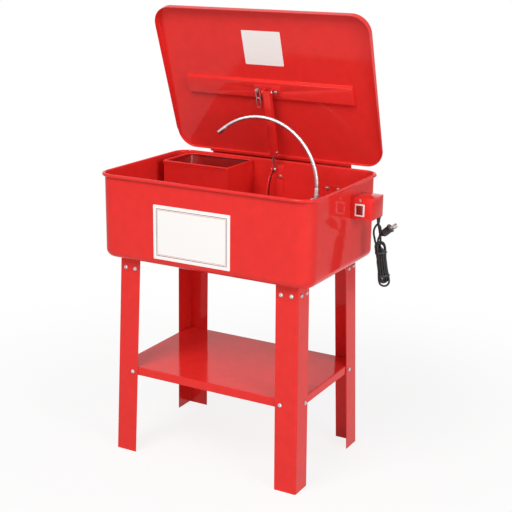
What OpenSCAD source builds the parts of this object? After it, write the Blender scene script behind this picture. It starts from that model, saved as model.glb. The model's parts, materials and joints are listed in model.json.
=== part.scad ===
// Parts washer on legs: a pressed steel tank with a rolled rim, a hinged lid that a sliding arm holds
// open, a soak box, a pump with a gooseneck spout that folds down, a storage shelf and a switch box.
// Modules work from the middle of the tank at floor level: X to the right, Y to the back, Z up.

/* [Tank] */
// Length over the rolled rim
rim_l = 711; // [690:1:740]
// Depth over the rolled rim
rim_d = 471; // [460:1:490]
// Height of the rim above the ground
rim_h = 876; // [850:1:900]
// Height of the tank from its floor to its rim
tank_h = 255; // [248:1:275]
// Sheet thickness of the tank and its soak box
sheet = 1.5; // [1.2:0.1:2]
// Outer radius of the rolled rim
roll_r = 5; // [4:0.5:6]
// Plan radius of the tank's corners
corner_r = 46; // [40:1:52]
// Bend radius around the tank's floor
bend_r = 22; // [16:1:24]

/* [Legs and shelf] */
// Spacing of the feet over their outer corners, side to side
foot_l = 628; // [615:1:645]
// Spacing of the feet over their outer corners, front to back
foot_d = 424; // [415:1:440]
// The same spacing under the tank, side to side
top_l = 596; // [585:1:605]
// The same spacing under the tank, front to back
top_d = 387; // [378:1:392]
// Flange width of a leg
leg_w = 70; // [66:1:76]
// Sheet thickness of a leg
leg_t = 2.5; // [2:0.1:3]
// Height of the shelf's top
shelf_h = 279; // [240:1:320]
// Depth of the shelf's turned-down lip
shelf_lip = 25; // [22:1:32]

/* [Lid] */
// Angle that the lid stands open
lid_open = 72; // [68:1:76]
// Sheet thickness of the lid
lid_sheet = 1.2; // [1:0.1:1.5]
// Clearance between the lid's flange and the rim
lid_gap = 1.5; // [1.2:0.1:2.5]
// Depth of the lid's flange
lid_flange = 22; // [18:1:26]
// Length of the piano hinge
hinge_l = 492; // [440:4:520]
// Distance of the hinge pin behind the rim
hinge_back = 14.5; // [13:0.5:16]
// Outer radius of the hinge's knuckles
knuckle_r = 3.2; // [3:0.1:3.6]
// Length of the lid's stiffener
band_l = 566; // [500:2:600]
// Width of the lid's stiffener
band_w = 63; // [56:1:70]
// Depth of the lid's stiffener
band_h = 10; // [9:0.5:11]
// Width and height of the card on the lid
card_size = [130, 108]; // [90:1:150]

/* [Lid arm] */
// Distance of the arm's pivot from the hinge pin, along the lid
arm_reach = 234; // [230:1:240]
// Distance of the arm's pivot below the lid's outer face
arm_drop = 26; // [26:0.5:28]
// Width of the arm's channel
arm_w = 22; // [20:1:24]
// Offset of the arm from the middle of the lid
arm_x = 7; // [6:0.5:9]
// Length of the link that shows below the arm's channel
link_l = 50; // [46:1:56]
// Distance of the sliding pin below the rim when the lid is open
pin_drop = 28; // [24:1:32]
// Radius of the sliding pin
pin_r = 4; // [3.5:0.5:4.5]

/* [Soak box] */
// Distance of the soak box from the lid arm's guide
soak_gap = 79; // [30:0.5:90]
// Distance of the soak box from the tank's left wall
soak_in = 33.5; // [16:0.5:40]
// Depth of the soak box, front to back
soak_d = 161.5; // [120:0.5:164]
// Height of the soak box
soak_h = 146; // [120:1:160]
// Distance of the soak box's top below the rim
soak_drop = 8; // [8:1:20]

/* [Spout and pump] */
// Place of the spout, in from the tank's right wall and from its rear wall
spout_in = [145.5, 115.5]; // [110:0.5:150]
// Height of the spout's fold below the rim
fold_drop = 86; // [80:1:92]
// Bend radius of the gooseneck
neck_bend = 195; // [170:1:205]
// Angle that the gooseneck turns through
neck_turn = 127; // [110:1:132]
// Outer radius of the gooseneck
neck_r = 6.5; // [6:0.5:7.5]
// Place of the pump, in from the tank's right wall and from its rear wall
pump_in = [83.5, 130.5]; // [80:0.5:134]
// Radius of the pump's motor
motor_r = 40; // [36:1:42]
// Height of the pump's motor
motor_h = 84; // [76:1:90]

/* [Switch box and label] */
// Width of the switch box out from the tank, its length front to back and its height
box_size = [67.4, 78.4, 63]; // [60:0.2:80]
// Place of the box's middle on the tank's side: back from the middle, and below the rim
box_at = [68, 70]; // [60:1:76]
// Width and height of the switch's bezel
bezel_size = [29, 35.4]; // [26:0.2:38]
// Width and height of the label on the tank
label_size = [256, 161]; // [140:1:280]
// Distance of the label's middle from the middle of the tank
label_x = -28; // [-40:1:0]

/* [Cord] */
// Radius of the power cord
cord_r = 3; // [2.8:0.1:3.2]
// Width at its folds, thickness and length of the hanked cord
hank_size = [36, 30, 142]; // [26:1:150]
// Width of the hank between its folds
hank_waist = 33; // [30:1:34]
// Tilt of the hank
hank_tilt = 9; // [7:1:11]

/* [Hidden] */
$fn = 64;
red = "#d8302c";
zinc = "#d2d2cf";
black = "#1c1c1e";
white = "#f4f3ef";

// Tank walls, from the rim and its roll
roll_out = 2 * roll_r - sheet;
wall_x = rim_l / 2 - roll_out;
wall_y = rim_d / 2 - roll_out;
wall_in = wall_y - sheet;
tank_z = rim_h - tank_h;
floor_z = tank_z + sheet;

// Hinge pin and lid, shut
hinge_y = rim_d / 2 + hinge_back;
lid_rest = 0.8;
lid_top = rim_h + lid_rest + lid_sheet;
hinge_z = lid_top + knuckle_r;
lid_out = lid_gap + lid_sheet;
lid_x = rim_l / 2 + lid_out;
lid_y = rim_d / 2 + lid_out;
lid_r = corner_r + roll_out + lid_out;
lid_bend = 4;
rear_flange = 8;
lid_back = 4;
leaf_t = 1.2;
leaf_w = 34;
leaf_step = [14, 26];
leaf_foot = 14;
hinge_pin_r = 2;
hinge_fit = 0.05;
knuckles = 12;
knuckle_gap = 0.4;
knuckle_pitch = hinge_l / knuckles;
band_z = lid_top - lid_sheet - band_h;

// The bounding box, without its cord, is centred on the origin
tank_x = (lid_x - wall_x - box_size[0]) / 2;
tank_y = (rim_d / 2 - hinge_y - knuckle_r) / 2;

// Legs lean in from their feet
lean_x = atan((foot_l - top_l) / 2 / tank_z);
lean_y = atan((foot_d - top_d) / 2 / tank_z);
bracket_h = 52;
bracket_w = leg_w - 6;
bracket_t = 2.5;
shelf_fit = 0.3;
function leg_x_at(z) = foot_l / 2 - z * tan(lean_x) - leg_t;
function leg_y_at(z) = foot_d / 2 - z * tan(lean_y) - leg_t;
shelf_low = shelf_h - shelf_lip;
shelf_x = min(leg_x_at(shelf_h), leg_x_at(shelf_low)) - shelf_fit;
shelf_y = min(leg_y_at(shelf_h), leg_y_at(shelf_low)) - shelf_fit;
shelf_r = 8;
shelf_bend = 3;

// Hexagon bolts and nuts
bolt_r = 3;
hex_r = 5.8;
head_h = 4;
nut_h = 5;
bolt_over = 1;
through = 40;
bolt_fit = 0.25;
leg_bolts_at = [20, 53];
leg_bolt_drop = 30;
shelf_bolt_at = 53;
shelf_bolt_drop = 14;
shelf_bolt_z = shelf_h - shelf_bolt_drop;
nut_tilt = (hex_r + 1) * max(tan(abs(lean_x)), tan(abs(lean_y)));
shelf_grip = leg_t + max(leg_x_at(shelf_bolt_z) - shelf_x, leg_y_at(shelf_bolt_z) - shelf_y)
  + sheet + nut_tilt;

// Lid arm: where its pivot and its sliding pin are, with the lid open and shut
function turned(p, a) = [p[0] * cos(a) - p[1] * sin(a), p[0] * sin(a) + p[1] * cos(a)];
hinge = [hinge_y, hinge_z];
pivot_shut = [hinge_y - arm_reach, lid_top - arm_drop];
pivot_open = hinge + turned(pivot_shut - hinge, -lid_open);
slide_y = wall_in - 13.5;
slide_open = [slide_y, rim_h - pin_drop];
arm_l = norm(slide_open - pivot_open);
slide_shut = [slide_y, pivot_shut[1] - sqrt(pow(arm_l, 2) - pow(slide_y - pivot_shut[0], 2))];
function arm_angle(from, to) = atan2(to[0] - from[0], from[1] - to[1]);
arm_open = arm_angle(pivot_open, slide_open);
arm_turn = arm_angle(pivot_shut, slide_shut) - arm_open;
// Path of the sliding pin as the lid shuts, s from 0 to 1
function slide(s) = hinge + turned(pivot_open - hinge, s * lid_open)
  + turned(slide_open - pivot_open, s * arm_turn);
function slide_normal(s) = let (d = slide(s + 0.01) - slide(s - 0.01)) [d[1], -d[0]] / norm(d);
channel_t = 1.5;
channel_front = 9;
channel_back = 7;
link_t = 3;
link_w = 14;
nut_clear = 0.3;
slide_head_r = pin_r + 2.5;
link_top = arm_l - link_l - 9;
guide_t = 2.5;
guide_x = arm_x - 8;
link_x = guide_x + guide_t + 0.5;
slot_fit = 0.6;
guide_margin = 11;
guide_flange = 30;
guide_bolt_x = guide_x + 20;
guide_ends = [slide_shut[1] - 16, slide_open[1] + 14];
guide_bolts_at = [guide_ends[0] + 36, guide_ends[1] - 36];
bracket_bolt_x = 33;
plate_t = 2.5;
ear_t = 2.5;
pivot_r = 3;
arm_plate = [92, 34, 5];
ear_r = 9;
ear_fit = 0.4;
pin_head_r = 5.5;
pin_head_h = 3;
link_ring_t = 2;

// Soak box
soak_top = rim_h - soak_drop;
soak_left = soak_in + sheet - wall_x;
soak_x = [soak_left, guide_x - soak_gap];
soak_bolt_drop = 50;
soak_bolt_in = 60;
soak_hem_h = 9;
soak_y = wall_in - soak_d;
soak_corner = 30;
soak_hem = 1.5;
soak_bolts_at = soak_x + [soak_bolt_in, -soak_bolt_in];

// Spout and pump
spout_at = [wall_x - sheet, wall_in] - spout_in;
pump_at = [wall_x - sheet, wall_in] - pump_in;
fold_z = rim_h - fold_drop;
ferrule_h = 22;
neck_rise = 40;
nozzle_l = 32;
fork_gap = 0.4;
barrel_l = 24;
barrel_r = 10.5;
cheek_t = 4;
fork_base = -14;
fork_low = -28;
fork_r = norm([barrel_l / 2 + fork_gap + cheek_t, ear_r]) + 0.3;
riser_r = 10;
pump_base_r = motor_r + 8;
pump_base_h = 32;
motor_gland = 9;
pump_wall = 6;
intake_w = 6;
outlet_r = 16;
channel_z = 18;
channel_r = 5;
outlet = spout_at - pump_at;
stay_gap = 4;
stay_z = fold_z + fork_low - stay_gap;
stay_w = 60;
stay_arm_w = 24;
stay_r = 16;
stay_t = 3;
stay_over = 11;
riser_fit = 0.1;
stay_bolt_z = fold_z + 17;
stay_bolts_at = [spout_at[0] - stay_w / 2 + 11, spout_at[0] + stay_w / 2 - 11];
drain_at = [-230, -120];

// Switch box
box_z = rim_h - box_at[1];
box_t = 1.5;
box_front = box_at[0] - box_size[1] / 2;
box_mid_x = wall_x + box_size[0] / 2 - 4;
rocker_size = bezel_size - [9, 8];
rocker_rest = 7;
rocker_pivot = 2;
rocker_gap = 0.4;
rocker_end_gap = 1.2;
trunnion_r = 1.5;
trunnion_l = rocker_size[0] + 2.4;
bezel_t = 3;
bezel_fit = 0.2;
bezel_lip = 5.2;
bezel_depth = 23;
cable_y = pump_at[1];
cable_r = 3.5;
cable_hole_r = cable_r + 3.5;
grommet_fit = 0.2;
grommet_h = 6;
grommet_lip = 6;
cable_z = [floor_z + pump_base_h + motor_h / 2, box_z - 8];
cable_start = [[0, 0, 0], [-8, 0, 0], [-16, 0, -4], [-20, 0, -12]];
cable_finish = [[14, 0, 16], [12, 0, 8], [7, 0, 0], [0, 0, 0]];
gland_edge = 8.5;
gland_at = [wall_x + box_size[0] - gland_edge, box_at[0] + box_size[1] / 2 - gland_edge];
gland_h = 14;

// Cord: where it leaves its gland, hangs in a hank and ends in its plug
gland_end = box_z - box_size[2] / 2 - gland_h;
cord_sides = 10;
hank_mid = [419, 108, gland_end - 130];
hank_turn = 20;
tie_z = 35;
tie_h = 6;
tie_t = 1.4;
tie_fit = 0.2;
plug_tail = [419, 97, gland_end - 40];
plug_rise = 42;
loop_foot = [400, 107, gland_end - 60];
cord_route = [[0, 0, 0], [0, 1, -12], [1, 5, -24], [2, 8, -36], [4, 10, -48], [5, 10, -58], [5, 10, -67]];
loop_route = [[-1, -6, -8], [-3, -11, 8], [-4, -15, 20], [-4, -15, 32], [-2, -9, 42], [0, 0, 46],
  [2, 9, 42], [4, 15, 32], [4, 15, 20], [3, 11, 8], [1, 6, -8]];
lead_route = [[0, 0, 0], [-6, 0, -5], [-10, 0, -12], [-11, 0, -20], [-11, 0, -30]];

// Frames that the pieces are placed in

module on_tank() {
  translate([tank_x, tank_y, 0]) children();
}

// Pieces drawn for a shut lid, turned up to where it stands open
module on_lid() {
  on_tank() translate([0, hinge_y, hinge_z]) rotate([-lid_open, 0, 0])
    translate([0, -hinge_y, -hinge_z]) children();
}

// Pieces drawn hanging straight down from the arm's pivot
module on_arm() {
  on_tank() translate([arm_x, pivot_open[0], pivot_open[1]]) rotate([arm_open, 0, 0]) children();
}

// Outer corner of a leg at the ground, with its flanges along -X and -Y
module on_leg(side, end) {
  mirror([side < 0 ? 1 : 0, 0, 0]) mirror([0, end < 0 ? 1 : 0, 0])
    translate([foot_l / 2, foot_d / 2, 0]) rotate([lean_y, -lean_x, 0]) children();
}

module on_spout() {
  on_tank() translate([spout_at[0], spout_at[1], fold_z]) children();
}

module on_pump() {
  on_tank() translate([pump_at[0], pump_at[1], floor_z]) children();
}

// Front face of the switch box, at the middle of its switch
module on_switch() {
  on_tank() translate([box_mid_x, box_front, box_z - 4]) children();
}

// Shapes that repeat

module pan_half(w, h, b) {
  square([w - b, h]);
  translate([0, b]) square([w, h - b]);
  translate([w - b, b]) intersection() {
    circle(b);
    translate([0, -b]) square(b);
  }
}

module pan_section(w, h, b) {
  for (side = [0, 1]) mirror([side, 0]) pan_half(w / 2, h, b);
}

// Solid pan of plan l by d with corner radius r, height h and bend radius b around its floor
module pan_solid(l, d, h, r, b) {
  translate([r - l / 2, 0, 0]) rotate([90, 0, 90]) linear_extrude(l - 2 * r) pan_section(d, h, b);
  translate([0, d / 2 - r, 0]) rotate([90, 0, 0]) linear_extrude(d - 2 * r) pan_section(l, h, b);
  for (x = [-1, 1], y = [-1, 1])
    translate([x * (l / 2 - r), y * (d / 2 - r), 0]) rotate_extrude() pan_half(r, h, b);
}

module pan(l, d, h, r, b, t) {
  difference() {
    pan_solid(l, d, h, r, b);
    translate([0, 0, t]) pan_solid(l - 2 * t, d - 2 * t, h, r - t, b - t);
  }
}

module rounded_plate(w, h, t, r) {
  translate([r - w / 2, -h / 2, 0]) cube([w - 2 * r, h, t]);
  translate([-w / 2, r - h / 2, 0]) cube([w, h - 2 * r, t]);
  for (x = [-1, 1], y = [-1, 1]) translate([x * (w / 2 - r), y * (h / 2 - r), 0]) cylinder(t, r, r);
}

module tube(h, outer, inner) {
  difference() {
    cylinder(h, outer, outer);
    translate([0, 0, -1]) cylinder(h + 2, inner, inner);
  }
}

// Shank along +Z from the face that the head bears on
module hex_bolt(length) {
  translate([0, 0, -head_h]) cylinder(head_h, hex_r, hex_r, $fn = 6);
  cylinder(length, bolt_r, bolt_r);
}

module hex_nut() {
  difference() {
    cylinder(nut_h, hex_r, hex_r, $fn = 6);
    translate([0, 0, -1]) cylinder(nut_h + 2, bolt_r, bolt_r);
  }
}

module bolt_hole() {
  translate([0, 0, -through / 2]) cylinder(through, bolt_r + bolt_fit, bolt_r + bolt_fit);
}

// Hole for a pin, along X
module pin_hole() {
  translate([-through, 0, 0]) rotate([0, 90, 0])
    cylinder(2 * through, pivot_r + hinge_fit, pivot_r + hinge_fit);
}

// Pin with a head at each end, along X, with its middle at x
module headed_pin(x, length) {
  translate([x - length / 2, 0, 0]) rotate([0, 90, 0]) {
    cylinder(length, pivot_r, pivot_r);
    for (z = [-pin_head_h, length]) translate([0, 0, z]) cylinder(pin_head_h, pin_head_r, pin_head_r);
  }
}

// Ring shaped like a race track, l between its round ends' centres, along +Y
module track_ring(l, outer, inner, t) {
  difference() {
    track(l, outer, t);
    translate([0, 0, -1]) track(l, inner, t + 2);
  }
}

module track(l, r, t) {
  translate([-r, 0, 0]) cube([2 * r, l, t]);
  for (y = [0, l]) translate([0, y, 0]) cylinder(t, r, r);
}

// Tube swept along a route of points that never runs along aside
function unit(v) = v / norm(v);
function route_way(p, i) = unit(p[min(i + 1, len(p) - 1)] - p[max(i - 1, 0)]);
function route_ring(p, i, r, aside) = let (w = route_way(p, i), u = unit(cross(w, aside)), v = cross(w, u))
  [for (k = [0 : cord_sides - 1])
    p[i] + r * (u * cos(k * 360 / cord_sides) + v * sin(k * 360 / cord_sides))];

module swept_cord(p, r, aside = [0, 1, 0]) {
  n = cord_sides;
  last = len(p) - 1;
  polyhedron(
    points = [for (i = [0 : last]) each route_ring(p, i, r, aside)],
    faces = [
      [for (k = [n - 1 : -1 : 0]) k],
      [for (k = [0 : n - 1]) last * n + k],
      for (i = [0 : last - 1], k = [0 : n - 1])
        [i * n + k, i * n + (k + 1) % n, (i + 1) * n + (k + 1) % n, (i + 1) * n + k]
    ]);
}

// Tank

module curl_section() {
  translate([roll_r - sheet, -roll_r]) difference() {
    circle(roll_r);
    circle(roll_r - sheet);
    translate([-roll_r, -roll_r]) square(roll_r);
  }
}

module rim_curl() {
  for (side = [0, 180]) rotate(side) {
    translate([corner_r - wall_x, wall_y, rim_h]) rotate([90, 0, 90])
      linear_extrude(2 * (wall_x - corner_r)) curl_section();
    translate([wall_x, wall_y - corner_r, rim_h]) rotate([90, 0, 0])
      linear_extrude(2 * (wall_y - corner_r)) curl_section();
    translate([wall_x - corner_r, wall_y - corner_r, rim_h])
      rotate_extrude(angle = 90) translate([corner_r, 0]) curl_section();
    translate([corner_r - wall_x, wall_y - corner_r, rim_h])
      rotate([0, 0, 90]) rotate_extrude(angle = 90) translate([corner_r, 0]) curl_section();
  }
}

module tank_shell() {
  color(red) on_tank() difference() {
    union() {
      translate([0, 0, tank_z]) pan(2 * wall_x, 2 * wall_y, tank_h - roll_r, corner_r, bend_r, sheet);
      rim_curl();
    }
    rear_wall_bolts() bolt_hole();
    box_screw_places() bolt_hole();
    cable_hole();
    translate([drain_at[0], drain_at[1], tank_z - 5]) cylinder(20, 12, 12);
  }
}

// Hole for the pump's cable, through the tank's side and the back of the switch box
module cable_hole() {
  translate([wall_x - through / 2, cable_y, cable_z[1]]) rotate([0, 90, 0])
    cylinder(through, cable_hole_r, cable_hole_r);
}

// Bolts through the rear wall, shank along +Y from the wall's inner face
module rear_wall_bolts() {
  soak_bolt_places() children();
  guide_bolt_places() children();
  stay_bolt_places() children();
}

module on_rear_wall(x, z) {
  translate([x, wall_in, z]) rotate([-90, 0, 0]) children();
}

module soak_bolt_places() {
  for (x = soak_bolts_at) on_rear_wall(x, soak_top - soak_bolt_drop) children();
}

module guide_bolt_places() {
  for (z = guide_bolts_at) on_rear_wall(guide_bolt_x, z) children();
}

module stay_bolt_places() {
  for (x = stay_bolts_at) on_rear_wall(x, stay_bolt_z) children();
}

// Bolt with its nut outside the rear wall, holding a plate of thickness t on the inside
module wall_bolt(t) {
  translate([0, 0, -t]) hex_bolt(t + sheet + nut_h + bolt_over);
  translate([0, 0, sheet]) hex_nut();
}

module front_label() {
  color(white) on_tank() translate([label_x, -wall_y, tank_z + bend_r + label_size[1] / 2])
    rotate([90, 0, 0]) rounded_plate(label_size[0], label_size[1], 0.5, 4);
}

// Legs and shelf

module leg_bracket() {
  translate([-bracket_w - leg_t, -leg_t - bracket_t, 0]) cube([bracket_w, bracket_t, tank_z + 20]);
  translate([-leg_t - bracket_t, -bracket_w - leg_t, 0]) cube([bracket_t, bracket_w, tank_z + 20]);
}

module leg_angle() {
  translate([-leg_w, -leg_t, -20]) cube([leg_w, leg_t, tank_z + 40]);
  translate([-leg_t, -leg_w, -20]) cube([leg_t, leg_w, tank_z + 40]);
}

// Places on both flanges, shank along +Z inwards from the outer face
module leg_flange_places(along, height) {
  for (at = along) {
    translate([-at, 0, height]) rotate([90, 0, 0]) children();
    translate([0, -at, height]) rotate([0, -90, 0]) children();
  }
}

module leg_bolt_places() {
  leg_flange_places(leg_bolts_at, tank_z - leg_bolt_drop) children();
}

module shelf_bolt_places() {
  leg_flange_places([shelf_bolt_at], shelf_bolt_z) children();
}

module each_leg() {
  for (side = [-1, 1], end = [-1, 1]) on_leg(side, end) children();
}

module between(low, high) {
  translate([-rim_l, -rim_l, low]) cube([2 * rim_l, 2 * rim_l, high - low]);
}

module leg(side, end) {
  color(red) on_tank() difference() {
    intersection() {
      on_leg(side, end) leg_angle();
      between(0, tank_z);
    }
    on_leg(side, end) {
      leg_bolt_places() bolt_hole();
      shelf_bolt_places() bolt_hole();
    }
  }
}

module front_left_leg() {
  leg(-1, -1);
}

module front_right_leg() {
  leg(1, -1);
}

module rear_left_leg() {
  leg(-1, 1);
}

module rear_right_leg() {
  leg(1, 1);
}

module leg_brackets() {
  color(red) on_tank() difference() {
    intersection() {
      each_leg() leg_bracket();
      between(tank_z - bracket_h, tank_z);
    }
    each_leg() leg_bolt_places() bolt_hole();
  }
}

module leg_bolts() {
  color(zinc) on_tank() each_leg() leg_bolt_places() hex_bolt(leg_t + bracket_t + nut_h + bolt_over);
}

module leg_nuts() {
  color(zinc) on_tank() each_leg() leg_bolt_places() translate([0, 0, leg_t + bracket_t]) hex_nut();
}

module shelf() {
  color(red) on_tank() difference() {
    translate([0, 0, shelf_h]) mirror([0, 0, 1])
      pan(2 * shelf_x, 2 * shelf_y, shelf_lip, shelf_r, shelf_bend, sheet);
    each_leg() shelf_bolt_places() bolt_hole();
  }
}

module shelf_bolts() {
  color(zinc) on_tank() each_leg() shelf_bolt_places() hex_bolt(shelf_grip + nut_h + bolt_over);
}

module shelf_nuts() {
  color(zinc) on_tank() each_leg() shelf_bolt_places() translate([0, 0, shelf_grip]) hex_nut();
}

// Soak box and drain

// Plan of the soak box, drawn in by w, with its back left corner rounded to clear the tank's corner
module soak_block(w, low, high) {
  x = soak_x + [w, -w];
  y = [soak_y + w, wall_in - w];
  r = soak_corner - w;
  translate([x[0] + r, y[0], low]) cube([x[1] - x[0] - r, y[1] - y[0], high - low]);
  translate([x[0], y[0], low]) cube([2 * r, y[1] - y[0] - r, high - low]);
  translate([x[0] + r, y[1] - r, low]) cylinder(high - low, r, r);
}

module soak_box() {
  color(red) on_tank() difference() {
    union() {
      soak_block(0, soak_top - soak_h, soak_top);
      intersection() {
        soak_block(-soak_hem, soak_top - soak_hem_h, soak_top);
        translate([-rim_l, -rim_l, 0]) cube([2 * rim_l, rim_l + wall_in, rim_h]);
        translate([soak_x[0] - soak_hem, soak_y - soak_hem, 0])
          cube([2 * rim_l, soak_d - soak_corner, rim_h]);
      }
    }
    soak_block(sheet, soak_top - soak_h + sheet, rim_h);
    soak_bolt_places() bolt_hole();
  }
}

module soak_box_bolts() {
  color(zinc) on_tank() soak_bolt_places() wall_bolt(sheet);
}

module drain_fitting() {
  color(zinc) on_tank() translate([drain_at[0], drain_at[1], tank_z]) difference() {
    union() {
      translate([0, 0, -14]) cylinder(14, 20, 20, $fn = 6);
      translate([0, 0, -1]) cylinder(sheet + 2, 11.7, 11.7);
      translate([0, 0, sheet]) cylinder(3, 18, 18);
    }
    translate([0, 0, -20]) cylinder(40, 8, 8);
  }
}

module drain_plug() {
  color("#b8923f") on_tank() translate([drain_at[0], drain_at[1], tank_z - 14]) {
    translate([0, 0, -9]) cylinder(9, 11, 11, $fn = 6);
    cylinder(15, 7.95, 7.95);
  }
}

// Hinge

module knuckle_places(first) {
  for (i = [first : 2 : knuckles - 1])
    translate([i * knuckle_pitch - hinge_l / 2 + knuckle_gap / 2, hinge_y, hinge_z]) children();
}

module knuckle() {
  rotate([0, 90, 0]) tube(knuckle_pitch - knuckle_gap, knuckle_r, hinge_pin_r + hinge_fit);
}

module knuckle_bore() {
  translate([-hinge_l, hinge_y, hinge_z]) rotate([0, 90, 0])
    cylinder(2 * hinge_l, hinge_pin_r + hinge_fit, hinge_pin_r + hinge_fit);
}

// Leaf of the tank: up the back of the lid's edge, stepped in to the wall below the rim
module hinge_tank_leaf() {
  back = hinge_y + knuckle_r;
  top = hinge_z - knuckle_r - 1;
  step = [rim_h - leaf_step[0], rim_h - leaf_step[1]];
  foot = step[1] - leaf_foot;
  tab = knuckle_pitch - knuckle_gap;
  color(red) on_tank() difference() {
    union() {
      translate([-hinge_l / 2, 0, 0]) rotate([90, 0, 90]) linear_extrude(hinge_l) polygon([
        [back - leaf_t, top], [back, top], [back, step[0]], [wall_y + leaf_t, step[1]],
        [wall_y + leaf_t, foot], [wall_y, foot], [wall_y, step[1] + leaf_t / 2],
        [back - leaf_t, step[0] + leaf_t / 2]]);
      knuckle_places(0) {
        knuckle();
        translate([0, knuckle_r - leaf_t, top - hinge_z - 1]) cube([tab, leaf_t, hinge_z - top + 1]);
      }
    }
    knuckle_bore();
  }
}

module hinge_lid_leaf() {
  tab = knuckle_pitch - knuckle_gap;
  color(red) on_lid() difference() {
    union() {
      translate([-hinge_l / 2, hinge_y - leaf_w, lid_top]) cube([hinge_l, leaf_w - knuckle_r - 1, leaf_t]);
      knuckle_places(1) {
        knuckle();
        translate([0, -knuckle_r - 2, -knuckle_r]) cube([tab, knuckle_r + 2, leaf_t]);
      }
    }
    knuckle_bore();
  }
}

module hinge_pin() {
  color(zinc) on_tank() translate([-hinge_l / 2, hinge_y, hinge_z]) rotate([0, 90, 0])
    cylinder(hinge_l, hinge_pin_r, hinge_pin_r);
}

// Lid

module lid() {
  color(red) on_lid() difference() {
    translate([0, lid_back / 2, lid_top]) mirror([0, 0, 1])
      pan(2 * lid_x, 2 * lid_y + lid_back, lid_flange, lid_r, lid_bend, lid_sheet);
    translate([-rim_l, lid_y + lid_back - lid_r - lid_bend, lid_top - 2 * lid_flange])
      cube([2 * rim_l, rim_l, 2 * lid_flange - rear_flange]);
  }
}

module band_block(w) {
  slope = 6;
  polygon([[w - band_w / 2, 0], [w + slope - band_w / 2, w - band_h],
    [band_w / 2 - w - slope, w - band_h], [band_w / 2 - w, 0]]);
}

module lid_stiffener() {
  color(red) on_lid() difference() {
    translate([-band_l / 2, hinge_y - arm_reach, lid_top - lid_sheet]) rotate([90, 0, 90])
      linear_extrude(band_l) band_block(0);
    translate([lid_sheet - band_l / 2, hinge_y - arm_reach, lid_top - lid_sheet]) rotate([90, 0, 90])
      linear_extrude(band_l - 2 * lid_sheet) band_block(lid_sheet);
    bracket_bolt_places() bolt_hole();
  }
}

module lid_card() {
  color(white) on_lid() translate([-3, hinge_y - arm_reach - 131, lid_top - lid_sheet - 0.4])
    rounded_plate(card_size[0], card_size[1], 0.4, 2);
}

// Shank along +Z from the bracket's face
module bracket_bolt_places() {
  for (side = [-1, 1]) translate([side * bracket_bolt_x, hinge_y - arm_reach, band_z - plate_t]) children();
}

module arm_bracket() {
  ear_top = band_z - plate_t / 2 - pivot_shut[1];
  ear_off = arm_w / 2 + ear_fit + ear_t / 2;
  color(red) on_lid() difference() {
    union() {
      translate([0, hinge_y - arm_reach, band_z - plate_t])
        rounded_plate(arm_plate[0], arm_plate[1], plate_t, arm_plate[2]);
      for (side = [-1, 1])
        translate([arm_x + side * ear_off - ear_t / 2, pivot_shut[0], pivot_shut[1]]) rotate([0, 90, 0]) {
          cylinder(ear_t, ear_r, ear_r);
          translate([-ear_top, -ear_r, 0]) cube([ear_top, 2 * ear_r, ear_t]);
        }
    }
    bracket_bolt_places() bolt_hole();
    translate([0, pivot_shut[0], pivot_shut[1]]) pin_hole();
  }
}

module bracket_bolts() {
  standoff = 3 * link_ring_t;
  color(zinc) on_lid() bracket_bolt_places() {
    translate([0, 0, -standoff]) hex_bolt(standoff + plate_t + lid_sheet + nut_h + bolt_over);
    translate([0, 0, plate_t + lid_sheet]) hex_nut();
  }
}

module pivot_pin() {
  color(zinc) on_lid() translate([0, pivot_shut[0], pivot_shut[1]])
    headed_pin(arm_x, arm_w + 2 * (ear_fit + ear_t));
}

// Two flat rings soldered where they overlap, hung on the left bracket bolt
module fusible_link() {
  hang = 2;
  ring = 20;
  color(zinc) on_lid() translate([-bracket_bolt_x, hinge_y - arm_reach + hang, band_z - plate_t]) {
    translate([0, 0, -0.8 - link_ring_t]) track_ring(ring, 8, 5.3, link_ring_t);
    translate([0, ring + 9, -0.8 - 2 * link_ring_t]) track_ring(ring, 8, 5.3, link_ring_t);
  }
}

// Lid arm

module lid_arm() {
  lower = arm_l - link_l;
  inner = arm_w - 2 * channel_t;
  color(red) on_arm() difference() {
    translate([-arm_w / 2, -channel_front, -lower]) cube([arm_w, channel_front + channel_back, lower + 7]);
    translate([-inner / 2, channel_t - channel_front, -lower - 1])
      cube([inner, channel_front + channel_back, lower + 10]);
    for (z = [0, -link_top]) translate([0, 0, z]) pin_hole();
  }
}

module arm_link() {
  length = arm_l - link_top;
  color(zinc) on_arm() translate([link_x - arm_x, 0, -link_top]) rotate([90, 0, 90])
    linear_extrude(link_t) difference() {
      union() {
        translate([-link_w / 2, -length]) square([link_w, length]);
        for (y = [0, -length]) translate([0, y]) circle(link_w / 2);
      }
      circle(pivot_r + hinge_fit);
      translate([0, -length]) circle(pin_r + hinge_fit);
    }
}

module link_bolt() {
  color(zinc) on_arm() translate([0, 0, -link_top]) headed_pin(0, arm_w);
}

module sliding_pin() {
  left = guide_x - nut_clear - nut_h - arm_x;
  right = link_x + link_t - arm_x;
  color(zinc) on_arm() translate([0, 0, -arm_l]) rotate([0, 90, 0]) {
    translate([0, 0, left]) cylinder(right - left, pin_r, pin_r);
    translate([0, 0, left]) cylinder(nut_h, slide_head_r, slide_head_r, $fn = 6);
    translate([0, 0, right]) cylinder(pin_head_h, slide_head_r, slide_head_r);
  }
}

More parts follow.
